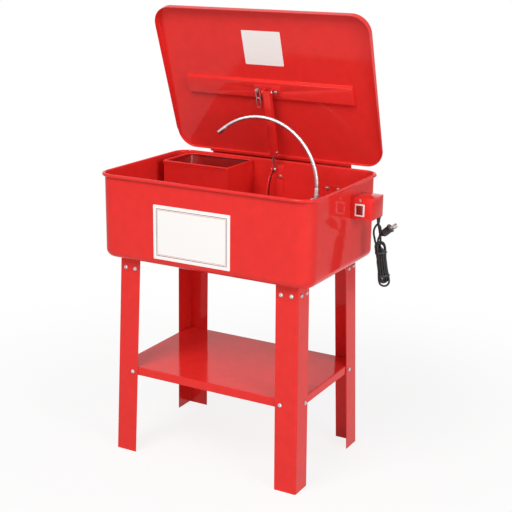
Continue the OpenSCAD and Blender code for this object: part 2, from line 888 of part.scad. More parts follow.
// Plate with a curved slot that the arm's pin runs down as the lid shuts
module arm_guide() {
  steps = 24;
  half = pin_r + slot_fit;
  ends = [for (k = [0 : 12]) k * 180 / 12];
  slot = concat(
    [for (i = [0 : steps]) slide(i / steps) + half * slide_normal(i / steps)],
    [for (a = ends) slide(1) + half * turned(slide_normal(1), a)],
    [for (i = [steps : -1 : 0]) slide(i / steps) - half * slide_normal(i / steps)],
    [for (a = ends) slide(0) - half * turned(slide_normal(0), a)]);
  front = [for (i = [0 : steps]) slide(i / steps) - [guide_margin, 0]];
  color(red) on_tank() difference() {
    union() {
      translate([guide_x, 0, 0]) rotate([90, 0, 90]) linear_extrude(guide_t) difference() {
        polygon(concat([[wall_in, guide_ends[1]], [front[0][0], guide_ends[1]]], front,
          [[front[steps][0], guide_ends[0]], [wall_in, guide_ends[0]]]));
        polygon(slot);
      }
      translate([guide_x, wall_in - guide_t, guide_ends[0]])
        cube([guide_flange, guide_t, guide_ends[1] - guide_ends[0]]);
    }
    guide_bolt_places() bolt_hole();
  }
}

module guide_bolts() {
  color(zinc) on_tank() guide_bolt_places() wall_bolt(guide_t);
}

// Spout

module spout_stay() {
  color(red) on_tank() difference() {
    union() {
      translate([spout_at[0] - stay_w / 2, wall_in - plate_t, stay_z - stay_t])
        cube([stay_w, plate_t, stay_bolt_z + stay_over + stay_t - stay_z]);
      translate([spout_at[0] - stay_arm_w / 2, spout_at[1], stay_z - stay_t])
        cube([stay_arm_w, wall_in - spout_at[1], stay_t]);
      translate([spout_at[0], spout_at[1], stay_z - stay_t]) cylinder(stay_t, stay_r, stay_r);
    }
    translate([spout_at[0], spout_at[1], stay_z - through / 2])
      cylinder(through, riser_r + riser_fit, riser_r + riser_fit);
    stay_bolt_places() bolt_hole();
  }
}

module stay_bolts() {
  color(zinc) on_tank() stay_bolt_places() wall_bolt(plate_t);
}

module riser_pipe() {
  low = floor_z + pump_base_h;
  color(zinc) on_tank() translate([spout_at[0], spout_at[1], low])
    tube(fold_z + fork_low - low, riser_r, riser_r - 2);
}

module spout_fork() {
  cheek = barrel_l / 2 + fork_gap;
  color(zinc) on_spout() difference() {
    union() {
      translate([0, 0, fork_low]) cylinder(fork_base - fork_low, fork_r, fork_r);
      for (side = [-1, 1]) translate([side * (cheek + cheek_t / 2) - cheek_t / 2, 0, 0]) {
        rotate([0, 90, 0]) cylinder(cheek_t, ear_r, ear_r);
        translate([0, -ear_r, fork_base]) cube([cheek_t, 2 * ear_r, -fork_base]);
      }
    }
    pin_hole();
    translate([0, 0, fork_low - 1]) cylinder(20, riser_r - 2, riser_r - 2);
  }
}

module fold_pin() {
  color(zinc) on_spout() headed_pin(0, barrel_l + 2 * (fork_gap + cheek_t));
}

module spout_elbow() {
  color(zinc) on_spout() difference() {
    union() {
      translate([-barrel_l / 2, 0, 0]) rotate([0, 90, 0]) cylinder(barrel_l, barrel_r, barrel_r);
      cylinder(ferrule_h, 9, 9);
      cylinder(neck_rise, neck_r + 1, neck_r + 1);
    }
    pin_hole();
  }
}

module gooseneck() {
  color("#d9dadb") on_spout() translate([-neck_bend, 0, neck_rise]) rotate([90, 0, 0])
    rotate_extrude(angle = neck_turn, $fn = 128) translate([neck_bend, 0]) circle(neck_r);
}

module spout_nozzle() {
  color("#b9babb") on_spout() translate([-neck_bend, 0, neck_rise]) rotate([0, -neck_turn, 0])
    translate([neck_bend, 0, 0]) tube(nozzle_l, neck_r + 0.5, neck_r - 2);
}

// Pump

module pump_base() {
  run = norm(outlet);
  color("#3a3c40") on_pump() rotate(atan2(outlet[1], outlet[0])) difference() {
    union() {
      cylinder(pump_base_h, pump_base_r, pump_base_r);
      translate([run, 0, 0]) cylinder(pump_base_h, outlet_r, outlet_r);
      translate([0, 2 - outlet_r, 0]) cube([run, 2 * outlet_r - 4, pump_base_h]);
    }
    translate([0, 0, pump_wall])
      cylinder(pump_base_h - 2 * pump_wall, pump_base_r - 8, pump_base_r - 8);
    translate([0, 0, pump_wall + 1]) cylinder(pump_base_h, 6, 6);
    for (a = [60 : 60 : 300]) rotate(a)
      translate([12, -intake_w / 2, -1]) cube([pump_base_r, intake_w, pump_wall + 2]);
    translate([run, 0, channel_z - 6]) cylinder(pump_base_h, riser_r - 2, riser_r - 2);
    translate([pump_base_r / 2, 0, channel_z]) rotate([0, 90, 0])
      cylinder(run - pump_base_r / 2, channel_r, channel_r);
  }
}

module pump_motor() {
  color("#2c2e31") on_pump() translate([0, 0, pump_base_h]) difference() {
    union() {
      cylinder(motor_h - 8, motor_r, motor_r);
      translate([0, 0, motor_h - 8]) cylinder(8, motor_r - 6, motor_r - 6);
      translate([0, 0, motor_h / 2]) rotate([0, 90, 0]) cylinder(motor_r + motor_gland, 7, 7);
    }
    translate([0, 0, -1]) cylinder(31, 3 + hinge_fit, 3 + hinge_fit);
  }
}

module pump_impeller() {
  color("#8d8f92") on_pump() {
    translate([0, 0, 10]) cylinder(4, pump_base_r - 12, pump_base_r - 12);
    translate([0, 0, 10]) cylinder(pump_base_h + 18, 3, 3);
    for (a = [0 : 60 : 300]) rotate(a) translate([6, -1, 13]) cube([pump_base_r - 20, 2, 8]);
  }
}

// Cable from the switch box, hanging down the wall and in to the pump
module pump_cable() {
  start = [wall_x - sheet - grommet_h, cable_y, cable_z[1]];
  finish = [pump_at[0] + motor_r + motor_gland, cable_y, cable_z[0]];
  color(black) on_tank()
    swept_cord(concat(shifted(cable_start, start), shifted(cable_finish, finish)), cable_r);
}

module cable_grommet() {
  color(black) on_tank() translate([wall_x - sheet, cable_y, cable_z[1]]) rotate([0, 90, 0]) {
    translate([0, 0, -grommet_h]) tube(grommet_h, cable_r + grommet_lip, cable_r);
    translate([0, 0, -grommet_h])
      tube(grommet_h + sheet + box_t, cable_hole_r - grommet_fit, cable_r);
    translate([0, 0, sheet + box_t]) tube(grommet_h / 2, cable_r + grommet_lip, cable_r);
  }
}

// Switch box

module box_screw_places() {
  for (y = [-22, 10]) translate([wall_x, box_at[0] + y, box_z + 18]) rotate([0, -90, 0]) children();
}

module switch_box() {
  inner = box_size - 2 * [box_t, box_t, box_t];
  front_frame = 12;
  color(red) on_tank() difference() {
    translate([wall_x, box_front + box_t, box_z - box_size[2] / 2])
      cube([box_size[0], box_size[1] - box_t, box_size[2]]);
    translate([wall_x + box_t, box_front + 2 * box_t, box_z - inner[2] / 2])
      cube([inner[0], inner[1] - box_t, inner[2]]);
    translate([wall_x + front_frame, box_front, box_z - box_size[2] / 2 + front_frame - 4])
      cube([box_size[0] - 2 * front_frame, 10, box_size[2] - 2 * front_frame]);
    box_screw_places() bolt_hole();
    cable_hole();
    translate([gland_at[0], gland_at[1], box_z - box_size[2]]) cylinder(box_size[2] - 10, 6.2, 6.2);
    plate_screw_place() bolt_hole();
  }
}

module box_screws() {
  color(zinc) on_tank() box_screw_places() {
    translate([0, 0, -box_t]) hex_bolt(box_t + sheet + nut_h + bolt_over);
    translate([0, 0, sheet]) hex_nut();
  }
}

// Shank along +Y from the front face of the plate
module plate_screw_place() {
  translate([box_mid_x, box_front, box_z + box_size[2] / 2 - 8]) rotate([-90, 0, 0]) children();
}

module switch_plate() {
  cut = bezel_size - [bezel_lip, bezel_lip] + [bezel_fit, bezel_fit];
  color(red) difference() {
    on_tank() translate([wall_x, box_front, box_z - box_size[2] / 2])
      cube([box_size[0], box_t, box_size[2]]);
    on_switch() translate([-cut[0] / 2, -5, -cut[1] / 2]) cube([cut[0], 20, cut[1]]);
    on_tank() plate_screw_place() bolt_hole();
  }
}

module plate_screw() {
  color(zinc) on_tank() plate_screw_place() {
    translate([0, 0, -2.5]) cylinder(2.5, 4.2, 4.2);
    cylinder(8, bolt_r, bolt_r);
  }
}

module switch_bezel() {
  body = bezel_size - [bezel_lip, bezel_lip];
  color(white) on_switch() difference() {
    union() {
      translate([-bezel_size[0] / 2, -bezel_t, -bezel_size[1] / 2])
        cube([bezel_size[0], bezel_t, bezel_size[1]]);
      translate([-body[0] / 2, -bezel_t / 2, -body[1] / 2]) cube([body[0], bezel_depth, body[1]]);
    }
    translate([-rocker_size[0] / 2, -2 * bezel_t, -rocker_size[1] / 2])
      cube([rocker_size[0], bezel_depth, rocker_size[1]]);
    rocker_axle(trunnion_l + 2 * rocker_gap, trunnion_r + hinge_fit);
  }
}

module rocker_axle(length, r) {
  translate([-length / 2, rocker_pivot, 0]) rotate([0, 90, 0]) cylinder(length, r, r);
}

// Paddle of the switch, its face a shallow V, tilted with its foot pressed in
module rocker() {
  half = rocker_size[1] / 2 - rocker_end_gap;
  color("#7c1714") on_switch() {
    translate([rocker_gap - rocker_size[0] / 2, rocker_pivot, 0]) rotate([rocker_rest, 0, 0])
      rotate([90, 0, 90]) linear_extrude(rocker_size[0] - 2 * rocker_gap)
        polygon([[-7, -half], [-5.5, 0], [-7, half], [3, half], [7, 3], [7, -3], [3, -half]]);
    rocker_axle(trunnion_l, trunnion_r);
  }
}

// Cord

module cord_gland() {
  color(black) on_tank() translate([gland_at[0], gland_at[1], gland_end]) difference() {
    union() {
      cylinder(gland_h, 5, 7);
      translate([0, 0, gland_h]) cylinder(box_t, 6, 6);
      translate([0, 0, gland_h + box_t]) cylinder(4, gland_edge - box_t - 0.3, gland_edge - box_t - 0.3);
    }
    translate([0, 0, 8]) cylinder(30, cord_r, cord_r);
  }
}

function shifted(route, by) = [for (p = route) p + by];

module power_cord() {
  color(black) on_tank() swept_cord(shifted(cord_route, [gland_at[0], gland_at[1], gland_end]), cord_r);
}

module on_hank() {
  on_tank() translate(hank_mid) rotate([0, -hank_tilt, hank_turn]) children();
}

module cord_hank() {
  fold_r = hank_size[0] / 2;
  between_folds = hank_size[2] - 2 * fold_r;
  color(black) on_hank() translate([0, hank_size[1] / 2, 0]) rotate([90, 0, 0])
    linear_extrude(hank_size[1]) union() {
      square([hank_waist, between_folds], center = true);
      for (end = [-1, 1]) translate([0, end * between_folds / 2]) circle(fold_r);
    }
}

// One fold that has slipped up out of the hank
module hank_loop() {
  color(black) on_tank() swept_cord(shifted(loop_route, loop_foot), cord_r, [1, 0, 0]);
}

module cord_ties() {
  inner = [hank_waist, hank_size[1]] + 2 * [tie_fit, tie_fit];
  outer = inner + 2 * [tie_t, tie_t];
  color(black) on_hank() for (z = [-tie_z, tie_z]) translate([0, 0, z - tie_h / 2])
    linear_extrude(tie_h) difference() {
      square(outer, center = true);
      square(inner, center = true);
    }
}

module on_plug() {
  on_tank() translate(plug_tail) rotate([0, 90 - plug_rise, 0]) children();
}

module plug_lead() {
  color(black) on_tank() swept_cord(shifted(lead_route, plug_tail), cord_r);
}

module plug_body() {
  color(black) on_plug() {
    cylinder(6, 6, 9);
    translate([0, 0, 6]) cylinder(28, 12, 12);
    translate([0, 0, 34]) cylinder(3, 13, 13);
  }
}

module plug_blades() {
  color(zinc) on_plug() translate([0, 0, 37]) {
    for (y = [-6.35, 6.35]) translate([-3.2, y - 0.75, 0]) cube([6.4, 1.5, 18]);
    translate([8, 0, 0]) cylinder(19, 2.4, 2.4);
  }
}

tank_shell();
leg_brackets();
front_left_leg();
front_right_leg();
rear_left_leg();
rear_right_leg();
leg_bolts();
leg_nuts();
shelf();
shelf_bolts();
shelf_nuts();
front_label();
soak_box();
soak_box_bolts();
drain_fitting();
drain_plug();
hinge_tank_leaf();
hinge_lid_leaf();
hinge_pin();
lid();
lid_stiffener();
lid_card();
arm_bracket();
bracket_bolts();
pivot_pin();
fusible_link();
lid_arm();
arm_link();
link_bolt();
sliding_pin();
arm_guide();
guide_bolts();
spout_stay();
stay_bolts();
riser_pipe();
spout_fork();
fold_pin();
spout_elbow();
gooseneck();
spout_nozzle();
pump_base();
pump_motor();
pump_impeller();
pump_cable();
cable_grommet();
switch_box();
box_screws();
switch_plate();
plate_screw();
switch_bezel();
rocker();
cord_gland();
power_cord();
cord_hank();
hank_loop();
cord_ties();
plug_lead();
plug_body();
plug_blades();
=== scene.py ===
"""Dresses a parts washer: enamelled tank, lid, legs and shelf, with its spout, pump, switch and cord."""

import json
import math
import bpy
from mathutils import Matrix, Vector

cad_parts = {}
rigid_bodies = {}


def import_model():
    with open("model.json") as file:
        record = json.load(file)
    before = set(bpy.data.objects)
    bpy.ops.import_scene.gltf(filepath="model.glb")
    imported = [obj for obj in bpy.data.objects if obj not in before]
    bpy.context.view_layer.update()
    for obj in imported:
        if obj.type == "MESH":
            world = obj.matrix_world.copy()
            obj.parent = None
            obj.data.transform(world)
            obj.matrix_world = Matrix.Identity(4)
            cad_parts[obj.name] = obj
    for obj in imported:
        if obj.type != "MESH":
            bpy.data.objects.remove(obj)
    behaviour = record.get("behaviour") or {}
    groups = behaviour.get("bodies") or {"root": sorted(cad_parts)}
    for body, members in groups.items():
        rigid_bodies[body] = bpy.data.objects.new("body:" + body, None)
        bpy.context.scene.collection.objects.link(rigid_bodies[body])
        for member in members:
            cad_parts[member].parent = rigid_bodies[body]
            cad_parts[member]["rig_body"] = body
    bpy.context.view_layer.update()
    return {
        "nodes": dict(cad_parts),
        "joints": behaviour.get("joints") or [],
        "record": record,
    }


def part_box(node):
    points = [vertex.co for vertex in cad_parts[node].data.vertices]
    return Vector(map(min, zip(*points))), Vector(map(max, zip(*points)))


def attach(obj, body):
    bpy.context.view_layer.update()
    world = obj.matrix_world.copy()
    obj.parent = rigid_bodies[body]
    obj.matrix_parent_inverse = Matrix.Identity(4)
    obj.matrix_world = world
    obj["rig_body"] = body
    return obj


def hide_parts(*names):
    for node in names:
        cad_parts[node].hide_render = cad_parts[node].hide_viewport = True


bl_info = {
    "name": "Parts washer",
    "version": (1, 0, 0),
    "blender": (4, 5, 0),
    "location": "View3D > Sidebar > Washer",
    "description": "Builds the visible pieces of a parts washer over its packed frame",
    "category": "Object",
}

import bmesh
import bpy
import numpy
from bpy.props import FloatProperty, FloatVectorProperty, IntProperty, PointerProperty
from mathutils import Matrix, Vector

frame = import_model()

MM = 0.001
# In a CAD node, points nearer than the gap are welded and faces within the angle are joined. A bolt's head
# is what reaches this share of its greatest radius.
WELD_GAP = 0.002 * MM
FLAT_ANGLE = math.radians(0.4)
HEAD_RIM = 0.8
NODES = frame["nodes"]
JOINTS = {joint["name"]: joint for joint in frame["joints"]}
TANK_LOW, TANK_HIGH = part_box("tank_shell")
MIDDLE = (TANK_LOW + TANK_HIGH) / 2


def at(x, y, z):
    """A point in metres, from millimetres off the middle of the tank at floor level."""
    return Vector((MIDDLE.x + x * MM, MIDDLE.y + y * MM, z * MM))


def linear(code):
    """An sRGB hex colour as the linear values that a socket takes."""
    parts = [int(code[i : i + 2], 16) / 255 for i in (1, 3, 5)]
    return [c / 12.92 if c <= 0.04045 else ((c + 0.055) / 1.055) ** 2.4 for c in parts]


def length_prop(name, description, default):
    return FloatProperty(name=name, description=description, default=default, unit="LENGTH", precision=4)


def colour_prop(name, description, code):
    return FloatVectorProperty(
        name=name, description=description, default=linear(code), subtype="COLOR", min=0, max=1
    )


class WasherSizes(bpy.types.PropertyGroup):
    """Sizes of the sheet metal, the cord and the fittings"""

    sheet: length_prop("Tank sheet", "Thickness of the tank's steel", 0.0015)
    roll_radius: length_prop("Rim roll", "Outer radius of the rolled rim", 0.005)
    corner_radius: length_prop("Tank corner", "Plan radius of the tank's corners", 0.046)
    floor_bend: length_prop("Floor bend", "Bend radius around the tank's floor", 0.022)
    drain_radius: length_prop("Drain hole", "Radius of the hole under the drain fitting", 0.0119)
    soak_bead: length_prop("Soak box bead", "Radius of the rolled edge round the soak box", 0.0032)
    lid_sheet: length_prop("Lid sheet", "Thickness of the lid's steel", 0.0012)
    lid_flange: length_prop("Lid flange", "Depth of the lid's flange", 0.022)
    lid_rear_flange: length_prop("Lid rear flange", "Depth of the flange on the hinge side", 0.008)
    lid_back: length_prop("Lid back", "How much further the lid reaches behind than in front", 0.004)
    lid_lip: length_prop("Lid rear lip", "Width of the lip turned back over the hinge", 0.007)
    lid_corner: length_prop("Lid corner", "Plan radius of the lid's corners", 0.0572)
    lid_bend: length_prop("Lid bend", "Bend radius between the lid and its flange", 0.004)
    knuckle_radius: length_prop("Hinge knuckle", "Radius of the hinge's knuckles", 0.00335)
    knuckle_count: IntProperty(name="Hinge knuckles", description="Knuckles along the hinge", default=38)
    leg_flange: length_prop("Leg flange", "Width of a leg's flange", 0.070)
    leg_sheet: length_prop("Leg sheet", "Thickness of a leg's steel", 0.0025)
    leg_bend: length_prop("Leg bend", "Outer bend radius of a leg's corner", 0.005)
    shelf_corner: length_prop("Shelf corner", "Plan radius of the shelf's corners", 0.008)
    shelf_bend: length_prop("Shelf bend", "Bend radius of the shelf's lip", 0.003)
    bolt_head_radius: length_prop("Bolt head", "Radius over the corners of a bolt's head", 0.0058)
    bolt_head_height: length_prop("Bolt head height", "Height of a bolt's head", 0.004)
    bolt_shank_radius: length_prop("Bolt shank", "Radius of a bolt's shank", 0.003)
    neck_bend: length_prop("Gooseneck bend", "Bend radius of the gooseneck", 0.195)
    neck_radius: length_prop("Gooseneck radius", "Outer radius of the gooseneck", 0.0065)
    neck_rib_pitch: length_prop("Gooseneck rib pitch", "Spacing of the gooseneck's ribs", 0.0034)
    neck_rib_depth: length_prop("Gooseneck rib depth", "Depth of the gooseneck's ribs", 0.00035)
    neck_turn: FloatProperty(
        name="Gooseneck turn",
        description="Angle that the gooseneck bends through",
        default=math.radians(127),
        subtype="ANGLE",
    )
    motor_fins: IntProperty(name="Motor fins", description="Cooling fins round the pump's motor", default=30)
    cord_radius: length_prop("Cord radius", "Radius of the power cord", 0.003)
    cord_length: length_prop("Cord length", "Length of the power cord from its gland to its plug", 1.72)
    cable_radius: length_prop("Pump cable radius", "Radius of the pump's cable", 0.0035)


class WasherColours(bpy.types.PropertyGroup):
    """Colours of the finishes"""

    enamel: colour_prop("Enamel", "Baked enamel on the sheet metal", "#E4302C")
    # Painted shade: the darker red laid over the inside of the soak box, for the shade in that recess
    painted_inside_shade: colour_prop("Painted inside shade", "Enamel stained by solvent inside the soak box", "#8E1F1C")
    zinc: colour_prop("Zinc", "Zinc plate on bolts, nuts and pins", "#CFD1D0")
    tube: colour_prop("Gooseneck", "Bright steel of the gooseneck", "#DAD9DA")
    cord: colour_prop("Cord", "Jacket of the cord", "#1B1B1D")
    film: colour_prop("Film", "White label and card", "#F6F3F0")
    border: colour_prop("Border", "Line printed round the label", "#6E5A5C")
    abs: colour_prop("Bezel", "White plastic of the switch's bezel", "#F2ECE8")
    rocker: colour_prop("Rocker", "Dark red plastic of the rocker", "#8A1B18")
    pump: colour_prop("Pump", "Moulded plastic of the pump", "#2E3033")
    brass: colour_prop("Brass", "Drain plug", "#B8923F")
    impeller: colour_prop("Impeller", "Moulded plastic of the impeller", "#8D8F92")


def sizes():
    return bpy.context.scene.washer_sizes


def colours():
    return bpy.context.scene.washer_colours


def add(tree, kind, inputs=None, **settings):
    """Adds a node with its settings, and sets or links its inputs by name or number. A node that is given
    as an input links its first live output."""
    node = tree.nodes.new(kind)
    for name, value in settings.items():
        setattr(node, name, value)
    for key, value in (inputs or {}).items():
        if isinstance(value, bpy.types.Node):
            value = next(output for output in value.outputs if output.enabled)
        if isinstance(value, bpy.types.NodeSocket):
            tree.links.new(value, node.inputs[key])
        else:
            node.inputs[key].default_value = value
    return node


def new_finish(name):
    """A material with an empty tree, and the place in the object that its patterns read."""
    material = bpy.data.materials.new(name)
    material.use_nodes = True
    tree = material.node_tree
    tree.nodes.clear()
    return material, tree, add(tree, "ShaderNodeTexCoord").outputs["Object"]


def end_finish(tree, inputs):
    """Ends a material in its shader. What is the same all over goes on the shader's own sockets."""
    shader = add(tree, "ShaderNodeBsdfPrincipled", inputs)
    add(tree, "ShaderNodeOutputMaterial", {"Surface": shader})


def shade(colour, factor=1):
    """A colour, darker or lighter, as a socket takes it."""
    return [min(1, c * factor) for c in colour] + [1]


def baked_enamel(name="baked_enamel", painted_shade=None):
    """Baked enamel on pressed steel: a smooth coat with faint orange peel over sheet that isn't quite flat,
    so that reflections are clear but wander a little, and the red is a shade deeper in places. Inside the
    given box it is darkened, patchily, with painted shade for the shade that falls in the soak box."""
    material, tree, place = new_finish(name)
    red = colours().enamel
    # Real orange peel is about 2 mm across, drawn at 5 mm so that it shows
    waves, flow, peel = (
        add(tree, "ShaderNodeTexNoise", {"Vector": place, "Scale": 1 / (across * MM), "Detail": detail})
        for across, detail in ((140, 2), (30, 4), (5, 2))
    )
    swing = {"From Min": 0.3, "From Max": 0.7}
    tone = add(tree, "ShaderNodeMapRange", {"Value": flow, **swing})
    paint = add(tree, "ShaderNodeMix", {0: tone, 6: shade(red, 0.95), 7: shade(red, 1.03)}, data_type="RGBA")
    gloss = add(tree, "ShaderNodeMapRange", {"Value": waves, **swing, "To Min": 0.06, "To Max": 0.12})
    uneven = add(tree, "ShaderNodeBump", {"Strength": 0.5, "Distance": 1.0 * MM, "Height": waves})
    relief = {"Strength": 0.25, "Distance": 0.07 * MM}
    peeled = add(tree, "ShaderNodeBump", {**relief, "Height": peel, "Normal": uneven})
    # Painted shade: inside the box the enamel turns to the darker red, patchy, for the shade in the soak box
    if painted_shade:
        low, high = painted_shade
        centred = add(tree, "ShaderNodeVectorMath", {0: place, 1: (low + high) / 2}, operation="SUBTRACT")
        apart = add(tree, "ShaderNodeVectorMath", {0: centred}, operation="ABSOLUTE")
        past = add(tree, "ShaderNodeVectorMath", {0: apart, 1: (high - low) / 2}, operation="SUBTRACT")
        parts = add(tree, "ShaderNodeSeparateXYZ", {0: past}).outputs
        sides = add(tree, "ShaderNodeMath", {0: parts["X"], 1: parts["Y"]}, operation="MAXIMUM")
        out = add(tree, "ShaderNodeMath", {0: sides, 1: parts["Z"]}, operation="MAXIMUM")
        edge = {"From Min": -0.3 * MM, "From Max": 0.3 * MM, "To Min": 1, "To Max": 0}
        within = add(tree, "ShaderNodeMapRange", {"Value": out, **edge})
        patchy = add(tree, "ShaderNodeMapRange", {"Value": flow, "To Min": 0.7, "To Max": 1.0})
        share = add(tree, "ShaderNodeMath", {0: within, 1: patchy}, operation="MULTIPLY")
        dark = shade(colours().painted_inside_shade)
        paint = add(tree, "ShaderNodeMix", {0: share, 6: paint, 7: dark}, data_type="RGBA")
    coat = {"IOR": 1.5, "Metallic": 0, "Specular IOR Level": 0.17}
    end_finish(tree, {**coat, "Base Color": paint, "Roughness": gloss, "Normal": peeled})
    return material


def mottled(name, constants, clouds, grain, tones, roughness, relief, swing=(0, 1)):
    """A finish that drifts between two tones and two degrees of gloss, under a fine grain. Clouds and grain
    each have a size and a detail, and relief has a strength and a depth."""
    material, tree, place = new_finish(name)
    drift, fine = (
        add(tree, "ShaderNodeTexNoise", {"Vector": place, "Scale": 1 / size, "Detail": detail})
        for size, detail in (clouds, grain)
    )
    blotch = add(tree, "ShaderNodeMapRange", {"Value": drift, "From Min": swing[0], "From Max": swing[1]})
    tone = add(tree, "ShaderNodeMix", {0: blotch, 6: tones[0], 7: tones[1]}, data_type="RGBA")
    dull = add(tree, "ShaderNodeMapRange", {"Value": drift, "To Min": roughness[0], "To Max": roughness[1]})
    rough = add(tree, "ShaderNodeBump", {"Strength": relief[0], "Distance": relief[1], "Height": fine})
    end_finish(tree, {**constants, "Base Color": tone, "Roughness": dull, "Normal": rough})
    return material


def zinc_plate():
    """Zinc plate: bright grey metal, blotched between cool and warm where it was passivated."""
    zinc = colours().zinc
    cool = [zinc[0] * 0.86, zinc[1] * 0.9, zinc[2] * 0.96, 1]
    return mottled(
        "zinc_plate",
        {"Metallic": 1.0},
        clouds=(6 * MM, 3),
        grain=(0.8 * MM, 2),
        tones=(cool, shade(zinc, 1.05)),
        roughness=(0.26, 0.46),
        relief=(0.2, 0.05 * MM),
        swing=(0.3, 0.7),
    )


def bright_steel():
    """Bright steel strip, wound into the gooseneck: a satin shine, blurred by fine drawn scratches."""
    tube = colours().tube
    return mottled(
        "bright_steel",
        {"Metallic": 1.0},
        clouds=(9 * MM, 4),
        grain=(0.7 * MM, 1),
        tones=(shade(tube, 0.9), shade(tube, 1.06)),
        roughness=(0.24, 0.4),
        relief=(0.1, 0.03 * MM),
    )


def moulded(name, colour, gloss, grain, metallic=0.0):
    """Moulded plastic, or cast brass: a fine grain from the mould, and gloss that wears unevenly."""
    return mottled(
        name,
        {"IOR": 1.5, "Metallic": metallic},
        clouds=(12 * MM, 3),
        grain=(grain, 2),
        tones=(shade(colour, 0.85), shade(colour, 1.12)),
        roughness=(gloss - 0.08, gloss + 0.08),
        relief=(0.25, 0.08 * MM),
    )


def printed_film(name, middle, half_x, half_up, up, border=True):
    """Vinyl film, printed white, with a thin line round it: smooth, a little rippled where it was laid by
    hand, and plain."""
    material, tree, place = new_finish(name)
    film = colours().film
    ripple, fibre = (
        add(tree, "ShaderNodeTexNoise", {"Vector": place, "Scale": 1 / (across * MM), "Detail": detail})
        for across, detail in ((35, 2), (2, 3))
    )
    ground = add(tree, "ShaderNodeMix", {0: fibre, 6: shade(film, 0.965), 7: shade(film)}, data_type="RGBA")
    if border:
        centred = add(tree, "ShaderNodeVectorMath", {0: place, 1: middle}, operation="SUBTRACT")
        margins = []
        for way, half in (((1, 0, 0), half_x), (up, half_up)):
            along = add(tree, "ShaderNodeVectorMath", {0: centred, 1: way}, operation="DOT_PRODUCT")
            off = add(tree, "ShaderNodeMath", {0: along}, operation="ABSOLUTE")
            margins.append(add(tree, "ShaderNodeMath", {0: half, 1: off}, operation="SUBTRACT"))
        inset = add(tree, "ShaderNodeMath", {0: margins[0], 1: margins[1]}, operation="MINIMUM")
        dark, red = shade(colours().border), shade(colours().enamel, 0.9)
        for distance, half_width, ink in ((11.0 * MM, 0.9 * MM, dark), (14.5 * MM, 0.5 * MM, red)):
            line = add(tree, "ShaderNodeMath", {0: inset, 1: distance, 2: half_width}, operation="COMPARE")
            ground = add(tree, "ShaderNodeMix", {0: line, 6: ground, 7: ink}, data_type="RGBA")
    gloss = add(tree, "ShaderNodeMapRange", {"Value": ripple, "To Min": 0.32, "To Max": 0.5})
    laid = add(tree, "ShaderNodeBump", {"Strength": 0.3, "Distance": 0.3 * MM, "Height": ripple})
    end_finish(tree, {"IOR": 1.5, "Metallic": 0, "Base Color": ground, "Roughness": gloss, "Normal": laid})
    return material


FINISHES = {
    "red_enamel": baked_enamel,
    "zinc_steel": zinc_plate,
    "bright_steel": bright_steel,
    "black_rubber": lambda: moulded("black_pvc", colours().cord, 0.42, 0.9 * MM),
    "dark_plastic": lambda: moulded("pump_nylon", colours().pump, 0.5, 1.2 * MM),
    "grey_plastic": lambda: moulded("impeller_nylon", colours().impeller, 0.5, 1.2 * MM),
    "white_plastic": lambda: moulded("bezel_abs", colours().abs, 0.35, 0.8 * MM),
    "rocker_red": lambda: moulded("rocker_abs", colours().rocker, 0.3, 0.8 * MM),
    "brass": lambda: moulded("cast_brass", colours().brass, 0.3, 0.6 * MM, 1.0),
}
made = {}


def finish(slot):
    """The material for one of the record's slots, made once."""
    if slot not in made:
        made[slot] = FINISHES[slot]()
    return made[slot]


def settle(name, data, body, nodes):
    """Puts a piece in the scene, where it rides its body and stands for CAD nodes."""
    obj = bpy.data.objects.new(name, data)
    bpy.context.scene.collection.objects.link(obj)
    if nodes:
        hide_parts(*nodes)
    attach(obj, body)
    return obj


def mesh_piece(name, mesh, body, slot, nodes=(), angle=30, material=None):
    """A piece from a mesh, smooth but for edges sharper than an angle in degrees."""
    mesh.materials.clear()
    mesh.materials.append(material or finish(slot))
    mesh.shade_smooth()
    mesh.set_sharp_from_angle(angle=math.radians(angle))
    return settle(name, mesh, body, nodes)


def piece(name, bm, body, slot, nodes=(), angle=30, material=None, outward=True):
    """A piece from built geometry, turned outwards unless it already is."""
    if outward:
        bmesh.ops.recalc_face_normals(bm, faces=bm.faces[:])
    mesh = bpy.data.meshes.new(name)
    bm.to_mesh(mesh)
    bm.free()
    return mesh_piece(name, mesh, body, slot, nodes, angle, material)


def welded(node):
    """A copy of a CAD node's loose triangles, merged."""
    bm = bmesh.new()
    bm.from_mesh(NODES[node].data)
    bmesh.ops.remove_doubles(bm, verts=bm.verts[:], dist=WELD_GAP)
    return bm


def softened(node, slot, width, material=None, angle=35):
    """A copy of a CAD node with its sharp edges rounded, as bending and pressing leave them."""
    bm = welded(node)
    bmesh.ops.dissolve_limit(bm, angle_limit=FLAT_ANGLE, verts=bm.verts[:], edges=bm.edges[:])
    least = math.radians(angle)
    sharp = [e for e in bm.edges if len(e.link_faces) == 2 and e.calc_face_angle(0) > least]
    bmesh.ops.bevel(
        bm, geom=sharp, offset=width, segments=2, profile=0.5, affect="EDGES", clamp_overlap=True
    )
    body = NODES[node]["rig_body"]
    return piece(node + "_dressed", bm, body, slot, [node], angle, material, outward=False)


def dress(slot, width, *nodes):
    """Softens nodes that share a slot and an edge width in millimetres."""
    for node in nodes:
        softened(node, slot, width * MM)


def turns(steps):
    """The angles of one full turn."""
    return [2 * math.pi * i / steps for i in range(steps)]


def rounded_ring(half_x, half_y, radius, steps=10, margin=0.008):
    """Plan points of a rounded rectangle. A point beside each corner keeps the straight sides flat."""
    points = []
    for quarter in range(4):
        sign_x = 1 if quarter in (0, 3) else -1
        sign_y = 1 if quarter < 2 else -1
        centre = Vector((sign_x * (half_x - radius), sign_y * (half_y - radius)))
        for step in range(-1, steps + 2):
            angle = math.pi / 2 * (quarter + min(max(step, 0), steps) / steps)
            out = Vector((math.cos(angle), math.sin(angle)))
            onward = Vector((-out.y, out.x))
            slip = -margin if step < 0 else margin if step > steps else 0
            points.append(centre + radius * out + slip * onward)
    return points


